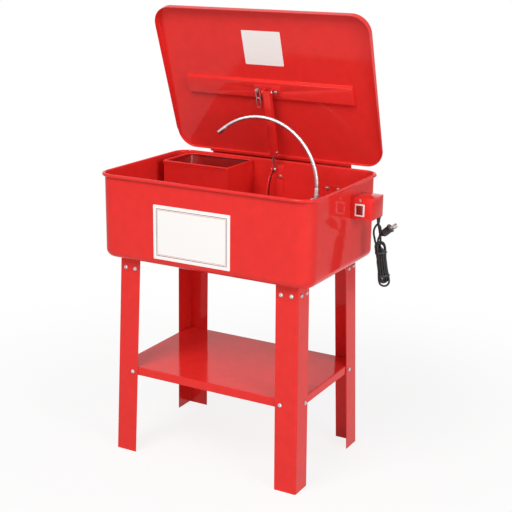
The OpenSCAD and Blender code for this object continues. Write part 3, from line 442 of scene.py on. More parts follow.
def pan(section, half_x, half_y, corner, steps, middle):
    """Rings of a pan with round corners, from a section of distance out and height."""
    rings = []
    for out, height in section:
        ring = rounded_ring(half_x + out, half_y + out, max(MM, corner + out), steps)
        rings.append([Vector((middle.x + p.x, middle.y + p.y, height)) for p in ring])
    return rings


def skin(bm, rings, ends="capped"):
    """Faces between rings of equally many points, with the ends capped, joined or left open."""
    loops = [[bm.verts.new(point) for point in ring] for ring in rings]
    pairs = list(zip(loops, loops[1:]))
    if ends == "joined":
        pairs.append((loops[-1], loops[0]))
    for low, high in pairs:
        for i in range(len(low)):
            j = (i + 1) % len(low)
            bm.faces.new((low[i], low[j], high[j], high[i]))
    if ends == "capped":
        bm.faces.new(loops[0])
        bm.faces.new(loops[-1])
    return loops


def arc(centre, radius, start, end, steps):
    """Points of an arc in a section, angles in degrees."""
    angles = [math.radians(start + (end - start) * i / steps) for i in range(steps + 1)]
    return [(centre[0] + radius * math.cos(a), centre[1] + radius * math.sin(a)) for a in angles]


def lathe(bm, profile, place, steps=32):
    """A closed turned shape from a profile of radius and height in millimetres, moved by a matrix."""
    rings = []
    for radius, height in profile:
        ring = [Vector((radius * math.cos(a), radius * math.sin(a), height)) for a in turns(steps)]
        rings.append([place @ (point * MM) for point in ring])
    skin(bm, rings)


def oval(half_x, half_y, power, height, steps=28):
    """A ring between an ellipse, at power 2, and a rectangle, at a high power."""
    ring = []
    for angle in turns(steps):
        c, s = math.cos(angle), math.sin(angle)
        x = half_x * math.copysign(abs(c) ** (2 / power), c)
        y = half_y * math.copysign(abs(s) ** (2 / power), s)
        ring.append(Vector((x, y, height)))
    return ring


def soft_line(name, points, radius, body, slot, nodes):
    """A round cord along one smooth open spline."""
    curve = bpy.data.curves.new(name, "CURVE")
    curve.dimensions = "3D"
    curve.resolution_u = 6
    curve.bevel_depth = radius
    curve.bevel_resolution = 3
    curve.use_fill_caps = True
    spline = curve.splines.new("BEZIER")
    spline.bezier_points.add(len(points) - 1)
    for knot, point in zip(spline.bezier_points, points):
        knot.co = point
        knot.handle_left_type = "AUTO"
        knot.handle_right_type = "AUTO"
    curve.materials.append(finish(slot))
    return settle(name, curve, body, nodes)


def grown(name, tree, body, slot, inputs, nodes=(), angle=30, base=None):
    """A piece of the plain mesh that a node tree grows, on a base mesh where it needs one."""
    carrier = bpy.data.objects.new(name + "_carrier", base or bpy.data.meshes.new(name + "_base"))
    bpy.context.scene.collection.objects.link(carrier)
    modifier = carrier.modifiers.new("growth", "NODES")
    modifier.node_group = tree
    given = {**inputs, "Finish": finish(slot)}
    for item in tree.interface.items_tree:
        if item.in_out == "INPUT" and item.name in given:
            modifier[item.identifier] = given[item.name]
    graph = bpy.context.evaluated_depsgraph_get()
    mesh = bpy.data.meshes.new_from_object(carrier.evaluated_get(graph), depsgraph=graph)
    bpy.data.objects.remove(carrier)
    return mesh_piece(name, mesh, body, slot, nodes, angle)


def new_tree(name, **inputs):
    """A node tree for geometry, and the sockets of its inputs: a base, those named by kind, and a finish."""
    tree = bpy.data.node_groups.new(name, "GeometryNodeTree")
    labels = [("Base", "Geometry")]
    labels += [(label, kind) for kind, group in inputs.items() for label in group]
    for label, kind in labels + [("Finish", "Material")]:
        tree.interface.new_socket(label, in_out="INPUT", socket_type="NodeSocket" + kind)
    tree.interface.new_socket("Geometry", in_out="OUTPUT", socket_type="NodeSocketGeometry")
    return tree, add(tree, "NodeGroupInput").outputs


def end_tree(tree, geometry, material):
    """Ends a tree in real geometry with its material."""
    real = add(tree, "GeometryNodeRealizeInstances", {"Geometry": geometry})
    dressed = add(tree, "GeometryNodeSetMaterial", {"Geometry": real, "Material": material})
    add(tree, "NodeGroupOutput", {0: dressed})
    return tree


def bolt_places(node):
    """Where the bolts of a node sit: the underside of each head, the way that the head looks, and the
    length under it. A bolt is an island of the mesh, and its head is what stands far off its axis."""
    bm = welded(node)
    left = set(bm.verts)
    places = []
    while left:
        island, edge = [], [left.pop()]
        while edge:
            vert = edge.pop()
            island.append(vert.co.copy())
            for link in vert.link_edges:
                other = link.other_vert(vert)
                if other in left:
                    left.remove(other)
                    edge.append(other)
        points = numpy.array(island)
        middle = points.mean(axis=0)
        axis = numpy.linalg.svd(points - middle)[2][0]
        along = (points - middle) @ axis
        off = numpy.linalg.norm(points - middle - numpy.outer(along, axis), axis=1)
        wide = along[off > HEAD_RIM * off.max()]
        if wide.mean() < 0:
            axis, along, wide = -axis, -along, -wide
        places.append((Vector(middle + axis * wide.min()), Vector(axis), float(wide.min() - along.min())))
    bm.free()
    return places


def hex_bolt_tree():
    """Hexagon bolts on points that carry the way their heads look: skirt, crown, collar and shank."""
    tree, size = new_tree(
        "hex_bolts", Float=("Head Radius", "Head Height", "Shank Radius", "Shank Length")
    )
    head, tall, long = size["Head Radius"], size["Head Height"], size["Shank Length"]
    skirt_h, half_skirt, crown_h, crown_r, collar_r, half_shank = (
        add(tree, "ShaderNodeMath", {0: whole, 1: share}, operation="MULTIPLY")
        for whole, share in ((tall, 0.7), (tall, 0.35), (tall, 0.3), (head, 0.8), (head, 1.06), (long, -0.5))
    )
    collar_h = 0.8 * MM
    skirt = add(tree, "GeometryNodeMeshCylinder", {"Vertices": 6, "Radius": head, "Depth": skirt_h})
    taper = {"Radius Top": crown_r, "Radius Bottom": head, "Depth": crown_h}
    crown = add(tree, "GeometryNodeMeshCone", {"Vertices": 6, **taper})
    collar = add(tree, "GeometryNodeMeshCylinder", {"Vertices": 24, "Radius": collar_r, "Depth": collar_h})
    rod = {"Vertices": 16, "Radius": size["Shank Radius"], "Depth": long}
    shank = add(tree, "GeometryNodeMeshCylinder", rod)
    bolt = add(tree, "GeometryNodeJoinGeometry")
    for mesh, height in ((skirt, half_skirt), (crown, skirt_h), (collar, collar_h / 2), (shank, half_shank)):
        lift = add(tree, "ShaderNodeCombineXYZ", {"Z": height})
        moved = add(tree, "GeometryNodeTransform", {"Geometry": mesh, "Translation": lift})
        tree.links.new(moved.outputs[0], bolt.inputs[0])
    looks = add(tree, "GeometryNodeInputNamedAttribute", {"Name": "looks"}, data_type="FLOAT_VECTOR")
    aimed = add(tree, "FunctionNodeAlignRotationToVector", {"Vector": looks}, axis="Z")
    each = {"Points": size["Base"], "Instance": bolt, "Rotation": aimed}
    return end_tree(tree, add(tree, "GeometryNodeInstanceOnPoints", each), size["Finish"])


def gooseneck_tree():
    """A tube along an arc, with ribs where its strip is wound."""
    tree, size = new_tree(
        "gooseneck",
        Float=("Bend Radius", "Turn", "Tube Radius", "Rib Pitch", "Rib Depth"),
        Vector=("Middle",),
    )
    sweep = {"Radius": size["Bend Radius"], "Start Angle": 0.0, "Sweep Angle": size["Turn"]}
    path = add(tree, "GeometryNodeCurveArc", {"Resolution": 960, **sweep}, mode="RADIUS")
    radius = add(tree, "GeometryNodeSplineParameter").outputs["Length"]
    # The length along the tube becomes a wave, then a hollow between 0 and the rib's depth, then a radius
    for operation, operand in (
        ("DIVIDE", size["Rib Pitch"]),
        ("MULTIPLY", 2 * math.pi),
        ("SINE", 0.0),
        ("SUBTRACT", 1.0),
        ("MULTIPLY", size["Rib Depth"]),
        ("MULTIPLY", 0.5),
        ("ADD", size["Tube Radius"]),
    ):
        radius = add(tree, "ShaderNodeMath", {0: radius, 1: operand}, operation=operation)
    ring = add(tree, "GeometryNodeCurvePrimitiveCircle", {"Resolution": 24, "Radius": 1.0}, mode="RADIUS")
    wall = {"Curve": path, "Profile Curve": ring, "Scale": radius, "Fill Caps": True}
    tube = add(tree, "GeometryNodeCurveToMesh", wall)
    stand = {"Rotation": (math.pi / 2, 0, 0), "Translation": size["Middle"]}
    upright = add(tree, "GeometryNodeTransform", {"Geometry": tube, **stand})
    return end_tree(tree, upright, size["Finish"])


def bead_tree():
    """A round bead along the edges of a base mesh."""
    tree, size = new_tree("rolled_bead", Float=("Bead Radius",))
    path = add(tree, "GeometryNodeMeshToCurve", {"Mesh": size["Base"]})
    ring = {"Resolution": 14, "Radius": size["Bead Radius"]}
    profile = add(tree, "GeometryNodeCurvePrimitiveCircle", ring, mode="RADIUS")
    bead = add(tree, "GeometryNodeCurveToMesh", {"Curve": path, "Profile Curve": profile})
    return end_tree(tree, bead, size["Finish"])


def piano_hinge_tree():
    """A row of rolled knuckles, each with the leg that runs down into its leaf."""
    tree, size = new_tree(
        "piano_hinge",
        Int=("Knuckles",),
        Float=("Pitch", "Gap", "Barrel Radius", "Leaf", "Leg"),
        Vector=("Start",),
    )
    radius, leaf, leg = size["Barrel Radius"], size["Leaf"], size["Leg"]
    length = add(tree, "ShaderNodeMath", {0: size["Pitch"], 1: size["Gap"]}, operation="SUBTRACT")
    barrel = add(tree, "GeometryNodeMeshCylinder", {"Vertices": 20, "Radius": radius, "Depth": length})
    lying = add(tree, "GeometryNodeTransform", {"Geometry": barrel, "Rotation": (0, math.pi / 2, 0)})
    leg_size = add(tree, "ShaderNodeCombineXYZ", {"X": length, "Y": leaf, "Z": leg})
    plate = add(tree, "GeometryNodeMeshCube", {"Size": leg_size})
    half_leaf = add(tree, "ShaderNodeMath", {0: leaf, 1: 0.5}, operation="MULTIPLY")
    back = add(tree, "ShaderNodeMath", {0: radius, 1: half_leaf}, operation="SUBTRACT")
    drop = add(tree, "ShaderNodeMath", {0: leg, 1: -0.5}, operation="MULTIPLY")
    beside = add(tree, "ShaderNodeCombineXYZ", {"Y": back, "Z": drop})
    tangent = add(tree, "GeometryNodeTransform", {"Geometry": plate, "Translation": beside})
    knuckle = add(tree, "GeometryNodeJoinGeometry")
    for part in (lying, tangent):
        tree.links.new(part.outputs[0], knuckle.inputs[0])
    onward = add(tree, "ShaderNodeCombineXYZ", {"X": size["Pitch"]})
    spread = {"Count": size["Knuckles"], "Start Location": size["Start"], "Offset": onward}
    row = add(tree, "GeometryNodeMeshLine", spread, mode="OFFSET")
    hinge = add(tree, "GeometryNodeInstanceOnPoints", {"Points": row, "Instance": knuckle})
    return end_tree(tree, hinge, size["Finish"])


def fin_tree():
    """Upright fins round a motor."""
    tree, size = new_tree(
        "motor_fins", Int=("Fins",), Float=("Ring Radius",), Vector=("Fin Size", "Middle")
    )
    ring = add(tree, "GeometryNodeMeshCircle", {"Vertices": size["Fins"], "Radius": size["Ring Radius"]})
    spot = add(tree, "GeometryNodeInputPosition")
    aimed = add(tree, "FunctionNodeAlignRotationToVector", {"Vector": spot}, axis="X")
    fin = add(tree, "GeometryNodeMeshCube", {"Size": size["Fin Size"]})
    each = {"Points": ring, "Instance": fin, "Rotation": aimed}
    fins = add(tree, "GeometryNodeInstanceOnPoints", each)
    moved = add(tree, "GeometryNodeTransform", {"Geometry": fins, "Translation": size["Middle"]})
    return end_tree(tree, moved, size["Finish"])


def lid_up():
    """The turn that lifts what is built shut to where the lid stands open."""
    hinge = Vector(JOINTS["lid_hinge"]["pos_m"])
    low, high = JOINTS["lid_hinge"]["range_deg"]
    turn = Matrix.Rotation(-math.radians(high - low), 4, "X")
    return Matrix.Translation(hinge) @ turn @ Matrix.Translation(-hinge)


# The camera, as the edges of the rim, legs and shelf place it: millimetres, pixels of the frame, radians
EYE = (1607.006, -2804.703, 1535.848)
AHEAD = (-0.46515, 0.84209, -0.27299)
ROLL = math.radians(0.72)
FOCAL_LENGTH = 1113.05
FRAME_WIDTH = 512
SENSOR = 36
WHITE = (1, 1, 1, 1)
FLOOR_COLOUR = "#F1F0EF"
FLOOR_HALF = 7
SKY_LIGHT = 0.35
# Where the floor's fades start and end, in metres from the middle, and their values there
WHITE_FADE = (0.5, 1.8, 0.84, 1.0)
GLOSS_FADE = (1.6, 2.4, 1.0, 0.0)
# Place, width and watts of each lamp, and the point that they face
LAMPS = {"key_softbox": ((-0.5, -3.1, 4.3), 2.2, 142), "side_softbox": ((3.9, -1.6, 2.2), 2.0, 81)}
LAMP_AIM = (0, 0, 700)


class WASHER_OT_stage(bpy.types.Operator):
    """Camera, pale floor and soft studio light"""

    bl_idname = "washer.stage"
    bl_label = "Stage"

    def camera(self, scene):
        ahead = Vector(AHEAD).normalized()
        level = ahead.cross(Vector((0, 0, 1))).normalized()
        upright = level.cross(ahead)
        right = level * math.cos(ROLL) + upright * math.sin(ROLL)
        up = upright * math.cos(ROLL) - level * math.sin(ROLL)
        data = bpy.data.cameras.new("camera")
        data.sensor_width = SENSOR
        data.sensor_height = SENSOR
        data.sensor_fit = "HORIZONTAL"
        data.lens = SENSOR * FOCAL_LENGTH / FRAME_WIDTH
        data.clip_end = 50
        camera = bpy.data.objects.new("camera", data)
        turn = Matrix((right, up, -ahead)).transposed().to_4x4()
        camera.matrix_world = Matrix.Translation(at(*EYE)) @ turn
        scene.collection.objects.link(camera)
        scene.camera = camera

    def seen(self, tree, gloss_share=1.0):
        """1 for what the camera sees, straight or through glass, and a share of it for a gloss."""
        path = add(tree, "ShaderNodeLightPath").outputs
        gloss = {0: path["Is Glossy Ray"], 1: gloss_share}
        glossy = add(tree, "ShaderNodeMath", gloss, operation="MULTIPLY")
        rays = {0: path["Is Camera Ray"], 1: path["Is Transmission Ray"]}
        straight = add(tree, "ShaderNodeMath", rays, operation="MAXIMUM")
        return add(tree, "ShaderNodeMath", {0: glossy, 1: straight}, operation="MAXIMUM")

    def sky(self, scene):
        world = bpy.data.worlds.new("white_studio")
        world.use_nodes = True
        tree = world.node_tree
        tree.nodes.clear()
        light = add(tree, "ShaderNodeBackground", {"Color": WHITE, "Strength": SKY_LIGHT})
        white = add(tree, "ShaderNodeBackground", {"Color": WHITE, "Strength": 1.0})
        mixed = add(tree, "ShaderNodeMixShader", {0: self.seen(tree), 1: light, 2: white})
        add(tree, "ShaderNodeOutputWorld", {"Surface": mixed})
        scene.world = world

    def floor(self, scene):
        material, tree, spot = new_finish("white_sweep")
        matt = add(tree, "ShaderNodeBsdfDiffuse", {"Color": shade(linear(FLOOR_COLOUR))})
        white = add(tree, "ShaderNodeEmission", {"Color": WHITE, "Strength": 1.0})
        away = add(tree, "ShaderNodeVectorMath", {0: spot}, operation="LENGTH")
        fades = []
        for start, end, first, last in (WHITE_FADE, GLOSS_FADE):
            ends = {"From Min": start, "From Max": end, "To Min": first, "To Max": last}
            smooth = {"interpolation_type": "SMOOTHSTEP"}
            fades.append(add(tree, "ShaderNodeMapRange", {"Value": away, **ends}, **smooth))
        # White takes over away from the object, so that the floor has no far edge and keeps its shadow.
        # A gloss shows that white near the object, and the plain floor past it, as in a studio.
        share, near = fades
        lifted = add(tree, "ShaderNodeMath", {0: self.seen(tree, near), 1: share}, operation="MULTIPLY")
        mixed = add(tree, "ShaderNodeMixShader", {0: lifted, 1: matt, 2: white})
        add(tree, "ShaderNodeOutputMaterial", {"Surface": mixed})
        bm = bmesh.new()
        bmesh.ops.create_grid(bm, x_segments=8, y_segments=8, size=FLOOR_HALF)
        mesh = bpy.data.meshes.new("floor")
        bm.to_mesh(mesh)
        bm.free()
        mesh.materials.append(material)
        floor = bpy.data.objects.new("floor", mesh)
        scene.collection.objects.link(floor)

    def lamps(self, scene):
        for name, (place, width, power) in LAMPS.items():
            data = bpy.data.lights.new(name, "AREA")
            data.shape = "SQUARE"
            data.size = width
            data.energy = power
            lamp = bpy.data.objects.new(name, data)
            lamp.location = place
            lamp.rotation_euler = (at(*LAMP_AIM) - Vector(place)).to_track_quat("-Z", "Y").to_euler()
            scene.collection.objects.link(lamp)

    def execute(self, context):
        scene = context.scene
        scene.view_settings.view_transform = "Standard"
        self.camera(scene)
        self.sky(scene)
        self.floor(scene)
        self.lamps(scene)
        return {"FINISHED"}


# The cord's stretches in millimetres, each from its own start
GLAND_END = (405.9, 98.7, 760.5)
CORD_ROUTE = [(0, 0, 0), (0, 1, -12), (1, 5, -24), (2, 8, -36), (4, 10, -48), (5, 10, -58), (5, 10, -67)]
LOOP_FOOT = (400, 107, 700.5)
# One side of the slipped fold, which the other side mirrors
LOOP_SIDE = [(-1, -6, -8), (-3, -11, 8), (-4, -15, 20), (-4, -15, 32), (-2, -9, 42)]
LOOP_TOP = (0, 0, 46)
PLUG_TAIL = (419, 97, 720.5)
PLUG_RISE = 42
LEAD_ROUTE = [(0, 0, 0), (-6, 0, -5), (-10, 0, -12), (-11, 0, -20), (-11, 0, -30)]
HANK_MIDDLE = (419, 108, 630.5)
HANK_TILT = 9
HANK_TURN = 20
# Tops of the folds of each turn over the middle of the hank, and their bottoms under it
FOLD_TOPS = (67, 62, 57, 53, 48, 43)
FOLD_BOTTOMS = (68, 57, 52, 47, 43, 39)
FOLD_R = 14.5
WAIST_R = 12.4
# Heights between which the hank widens from its waist, and the spacing of points along its runs
WAIST_END, FOLD_START = 18, 42
RUN_STEP = 17
FOLD_STEPS = 6
HANK_FLAT = 0.84
TURN_STEP = 30
SLIPPED_FOLD = 2
# Reach and height of the points where the cord goes in and out by the middle of the hank
WAY_IN = ((6, 34), (9.5, 22))
WAY_IN_END = 8
# The boot's top, and the start, pitch, radius and growth of its ribs
BOOT_TOP = 14.5
RIB_START, RIB_PITCH, RIB_R, RIB_GROWTH = -7, 3.6, 4.5, 0.5
# Heights and half sizes of the ties, their section as growth and rise, and their tails
TIE_HEIGHTS = (-35, 35)
TIE_HALF_X, TIE_HALF_Y = 15.3, 13.4
TIE_SECTION = ((0, -3), (0, 3), (1.0, 3.0), (1.4, 2.4), (1.4, -2.4), (1.0, -3.0))
TAIL_START, TAIL_BACK, TAIL_REACH = 15, -3, 4.5
TAIL_R, TAIL_TAPER, TAIL_TWIST = 1.5, 0.4, 5
TAIL_SWAY = (1.4, 1.6)
# Place along the plug, half sizes, and the power of its oval, from the tail to the grip and past it
PLUG_TAIL_SECTIONS = [
    *((-1.5, 3.2, 3.2, 2), (0, 5.4, 5.4, 2), (1.6, 5.8, 5.8, 2), (2.0, 5.0, 5.0, 2), (3.2, 5.0, 5.0, 2)),
    *((3.6, 6.6, 6.9, 2.2), (5.2, 8.6, 9.4, 2.4), (7, 10.0, 11.0, 2.8), (10, 10.8, 11.8, 3.2)),
]
PLUG_FACE_SECTIONS = [
    *((28, 10.8, 11.8, 3.2), (31.6, 11.2, 12.0, 2.8), (33.2, 12.2, 12.6, 2.3)),
    *((34.2, 13.0, 13.0, 2), (36.2, 13.0, 13.0, 2), (37, 12.4, 12.4, 2)),
]
# Starts of the plug's finger grooves, and the sections of one groove
GRIP_STARTS = (12, 15.6, 19.2, 22.8)
GRIP_SECTIONS = ((0, 10.9, 11.9), (0.9, 10.0, 11.2), (1.9, 10.0, 11.2), (2.8, 10.9, 11.9))
GRIP_POWER = 3.4


def shifted(route, by):
    """A route's points in place, from its start in millimetres."""
    return [at(*(a + b for a, b in zip(point, by))) for point in route]


def hank_place():
    """The matrix that puts the hank where it hangs."""
    tilt = Matrix.Rotation(math.radians(-HANK_TILT), 4, "Y")
    return Matrix.Translation(at(*HANK_MIDDLE)) @ Matrix.Rotation(math.radians(HANK_TURN), 4, "Z") @ tilt


class WASHER_OT_cord(bpy.types.Operator):
    """Power cord in its hank, with its strain relief, ties and plug"""

    bl_idname = "washer.cord"
    bl_label = "Power cord"

    def spoke(self, degrees, reach, height):
        """A point of the hank, by its angle round the hank's axis."""
        angle = math.radians(degrees)
        across, deep = reach * math.cos(angle), reach * math.sin(angle) * HANK_FLAT
        return Vector((across * MM, deep * MM, height * MM))

    def run(self, degrees, start, end):
        """One run along the hank, drawn in at its waist."""
        points = []
        steps = max(4, round(abs(end - start) / RUN_STEP))
        for step in range(steps + 1):
            height = start + (end - start) * step / steps
            spread = min(1, max(0, (abs(height) - WAIST_END) / (FOLD_START - WAIST_END)))
            reach = WAIST_R + (FOLD_R - WAIST_R) * spread * spread * (3 - 2 * spread)
            points.append(self.spoke(degrees, reach, height))
        return points

    def fold(self, degrees, turn, height, way):
        """The inner points of a fold that crosses the hank and turns a little on its axis."""
        points = []
        for step in range(1, FOLD_STEPS):
            part = step / FOLD_STEPS
            reach = FOLD_R * math.cos(math.pi * part)
            rise = height + FOLD_R * math.sin(math.pi * part)
            points.append(self.spoke(degrees + turn * part, reach, way * rise))
        return points

    def route(self):
        """The cord from its gland, down the middle of the hank, round its turns and up to the plug."""
        place = hank_place()
        points = shifted(CORD_ROUTE, GLAND_END)
        loop = LOOP_SIDE + [LOOP_TOP] + [(-x, -y, z) for x, y, z in LOOP_SIDE[::-1]]
        last = len(FOLD_TOPS) - 1
        for turn in range(last + 1):
            down = 180 + TURN_STEP * turn
            up = down + 180
            top, low = FOLD_TOPS[turn] - FOLD_R, FOLD_R - FOLD_BOTTOMS[turn]
            entered = turn == 0 or turn - 1 == SLIPPED_FOLD
            leaves = turn == last or turn == SLIPPED_FOLD
            inner = [self.spoke(down, *spot) for spot in WAY_IN] if entered else []
            inner += self.run(down, WAY_IN_END if entered else top, low)
            inner += self.fold(down, 0, -low, -1)
            inner += self.run(up, low, WAY_IN_END if leaves else top)
            if leaves:
                inner += [self.spoke(up, *spot) for spot in WAY_IN[::-1]]
            else:
                inner += self.fold(up, TURN_STEP, top, 1)
            points += [place @ point for point in inner]
            if turn == SLIPPED_FOLD:
                points += shifted(loop, LOOP_FOOT)[::-1]
        return points + shifted(LEAD_ROUTE, PLUG_TAIL)[::-1]

    def strain_relief(self):
        """Ribbed, tapered boot where the cord leaves the box."""
        bm = bmesh.new()
        top = BOOT_TOP
        profile = [(3.1, -9), (4.0, -9), (4.2, -7.5)]
        for rib in range(5):
            low = RIB_START + rib * RIB_PITCH
            wide = RIB_R + rib * RIB_GROWTH
            profile += [(wide - 0.7, low), (wide - 0.7, low + 1.1)]
            profile += [(wide, low + 1.5), (wide + 0.1, low + 3.2)]
        profile += [(6.6, 11.2), (8.4, 11.6), (8.4, top - 0.6), (8.0, top), (6.0, top), (6.0, top + 2)]
        lathe(bm, profile, Matrix.Translation(at(*GLAND_END)), 36)
        return piece("strain_relief", bm, "tank", "black_rubber", ["cord_gland"], 40)

    def plug(self):
        """Moulded three-pin plug with a ribbed tail, a grip and a flange behind its blades."""
        turn = Matrix.Rotation(math.radians(90 - PLUG_RISE), 4, "Y")
        place = Matrix.Translation(at(*PLUG_TAIL)) @ turn
        grip = [(low + z, x, y, GRIP_POWER) for low in GRIP_STARTS for z, x, y in GRIP_SECTIONS]
        sections = PLUG_TAIL_SECTIONS + grip + PLUG_FACE_SECTIONS
        bm = bmesh.new()
        skin(bm, [[place @ (p * MM) for p in oval(x, y, power, z)] for z, x, y, power in sections])
        return piece("moulded_plug", bm, "tank", "black_rubber", ["plug_body"], 35)

    def ties(self):
        """Two soft ties round the hank, their twisted ends standing out."""
        place = hank_place()
        bm = bmesh.new()
        for height in TIE_HEIGHTS:
            rings = []
            for grow, rise in TIE_SECTION:
                ring = oval(TIE_HALF_X + grow, TIE_HALF_Y + grow, 2.2, height + rise, 40)
                rings.append([place @ (p * MM) for p in ring])
            skin(bm, rings, "joined")
            for lean in (-1, 1):
                tail = []
                for step in range(6):
                    part = step / 5
                    swirl = TAIL_TWIST * part
                    sway = Vector((0, math.cos(swirl) * TAIL_SWAY[0], math.sin(swirl) * TAIL_SWAY[1]))
                    middle = Vector((TAIL_START + TAIL_REACH * part, TAIL_BACK, height)) + sway * lean
                    radius = TAIL_R - TAIL_TAPER * part
                    ring = oval(radius, radius, 2, 0, 10)
                    tail.append([place @ ((middle + Vector((0, p.x, p.y))) * MM) for p in ring])
                skin(bm, tail)
        return piece("hank_ties", bm, "tank", "dark_plastic", ["cord_ties"], 40)

    def execute(self, context):
        size = sizes()
        replaced = ["power_cord", "cord_hank", "hank_loop", "plug_lead"]
        cord = soft_line("mains_cord", self.route(), size.cord_radius, "tank", "black_rubber", replaced)
        blades = NODES["plug_blades"]
        blades.data.materials.clear()
        blades.data.materials.append(finish("zinc_steel"))
        self.strain_relief()
        self.plug()
        self.ties()
        return {"FINISHED"}


# Rings this far in from a bend carry the flat sheet on, in metres
FLAT_RING = 0.02
# In millimetres: the soak box's hem, its rolled edge's corner radii and insets, and the drain's place
SOAK_HEM = 1.5
SOAK_CORNERS = (6, 28, 6, 6)
SOAK_INSET_X, SOAK_INSET_Y = 2, 1
DRAIN_SPOT = (-230, -120, 0)
DRAIN_STEPS = 32


class WASHER_OT_tank(bpy.types.Operator):
    """Tank with its rolled rim, and what is fixed to it below"""

    bl_idname = "washer.tank"
    bl_label = "Tank"

    def shell(self):
        """The drawn tank: floor, bend, wall and rolled rim, outside and in, with the drain's hole."""
        size = sizes()
        roll, sheet, bend = size.roll_radius, size.sheet, size.floor_bend
        low, top = TANK_LOW.z, TANK_HIGH.z
        half_x = (TANK_HIGH.x - TANK_LOW.x) / 2 - (2 * roll - sheet)
        half_y = (TANK_HIGH.y - TANK_LOW.y) / 2 - (2 * roll - sheet)
        near = 6 * MM
        curl = (roll - sheet, top - roll)
        outside = [(-bend - FLAT_RING, low), (-bend - near, low)]
        outside += arc((-bend, low + bend), bend, -90, 0, 10)
        outside += [(0, low + bend + 2 * near), (0, curl[1] - FLAT_RING)]
        outside += arc(curl, roll - sheet, 180, -90, 24)
        inside = arc(curl, roll, -90, 180, 24)
        inside += [(-sheet, curl[1] - FLAT_RING), (-sheet, low + bend + 2 * near)]
        inside += arc((-bend, low + bend), bend - sheet, 0, -90, 10)
        inside += [(-bend - near, low + sheet), (-bend - FLAT_RING, low + sheet)]
        bm = bmesh.new()
        rings = pan(outside + inside, half_x, half_y, size.corner_radius, 12, MIDDLE)
        loops = skin(bm, rings, "open")
        spot = at(*DRAIN_SPOT)
        drain = []
        for loop, height in ((loops[0], low), (loops[-1], low + sheet)):
            hole = []
            for angle in turns(DRAIN_STEPS):
                out = size.drain_radius * Vector((math.cos(angle), math.sin(angle)))
                hole.append(bm.verts.new((spot.x + out.x, spot.y + out.y, height)))
            edges = [bm.edges.new(pair) for pair in zip(hole, hole[1:] + hole[:1])]
            edges += [bm.edges.get(pair) for pair in zip(loop, loop[1:] + loop[:1])]
            bmesh.ops.triangle_fill(bm, use_beauty=True, edges=edges)
            drain.append(hole)
        for i in range(DRAIN_STEPS):
            j = (i + 1) % DRAIN_STEPS
            bm.faces.new((drain[0][i], drain[0][j], drain[1][j], drain[1][i]))
        piece("enamelled_tank", bm, "tank", "red_enamel", ["tank_shell"])

    def soak_box(self):
        """The soak box, darkened inside with painted shade. Its box has a hem at the front and sides, and
        none at the back.
        """
        low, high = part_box("soak_box")
        skin_half = sizes().sheet / 2
        side = SOAK_HEM * MM + skin_half
        inside = (low + Vector((side, side, skin_half)), high - Vector((side, skin_half, 0)))
        softened("soak_box", "red_enamel", 0.5 * MM, baked_enamel("enamel_with_painted_shade", inside))

    def soak_bead(self):
        """Rolled edge round the top of the soak box, just clear of the tank's wall."""
        low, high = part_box("soak_box")
        bead = sizes().soak_bead
        back = high.y - bead
        centre = Vector(((low.x + high.x) / 2, (low.y + back) / 2))
        half_x = (high.x - low.x) / 2 - SOAK_INSET_X * MM
        half_y = (back - low.y) / 2 - SOAK_INSET_Y * MM
        steps = 8
        ring = []
        for quarter, radius in enumerate(SOAK_CORNERS):
            start = quarter * (steps + 3) + 1
            ring += rounded_ring(half_x, half_y, radius * MM, steps, 0)[start : start + steps + 1]
        points = [(centre.x + p.x, centre.y + p.y, high.z - 0.5 * bead) for p in ring]
        base = bpy.data.meshes.new("soak_bead_path")
        base.from_pydata(points, [(i, (i + 1) % len(points)) for i in range(len(points))], [])
        given = {"Bead Radius": bead}
        grown("soak_box_bead", bead_tree(), "tank", "red_enamel", given, angle=60, base=base)

    def execute(self, context):
        self.shell()
        self.soak_box()
        self.soak_bead()
        dress("red_enamel", 0.5, "leg_brackets")
        dress("zinc_steel", 0.6, "drain_fitting")
        dress("brass", 0.6, "drain_plug")
        dress("zinc_steel", 0.3, "soak_box_bolts")
        return {"FINISHED"}


# The shut lid's half width, its reach to the front and its top, and the length over which its flange
# grows shallow at the back, in metres
LID_HALF_X = 0.3582
LID_FRONT = 0.2382
LID_TOP = 0.878
FLANGE_FADE = 0.014


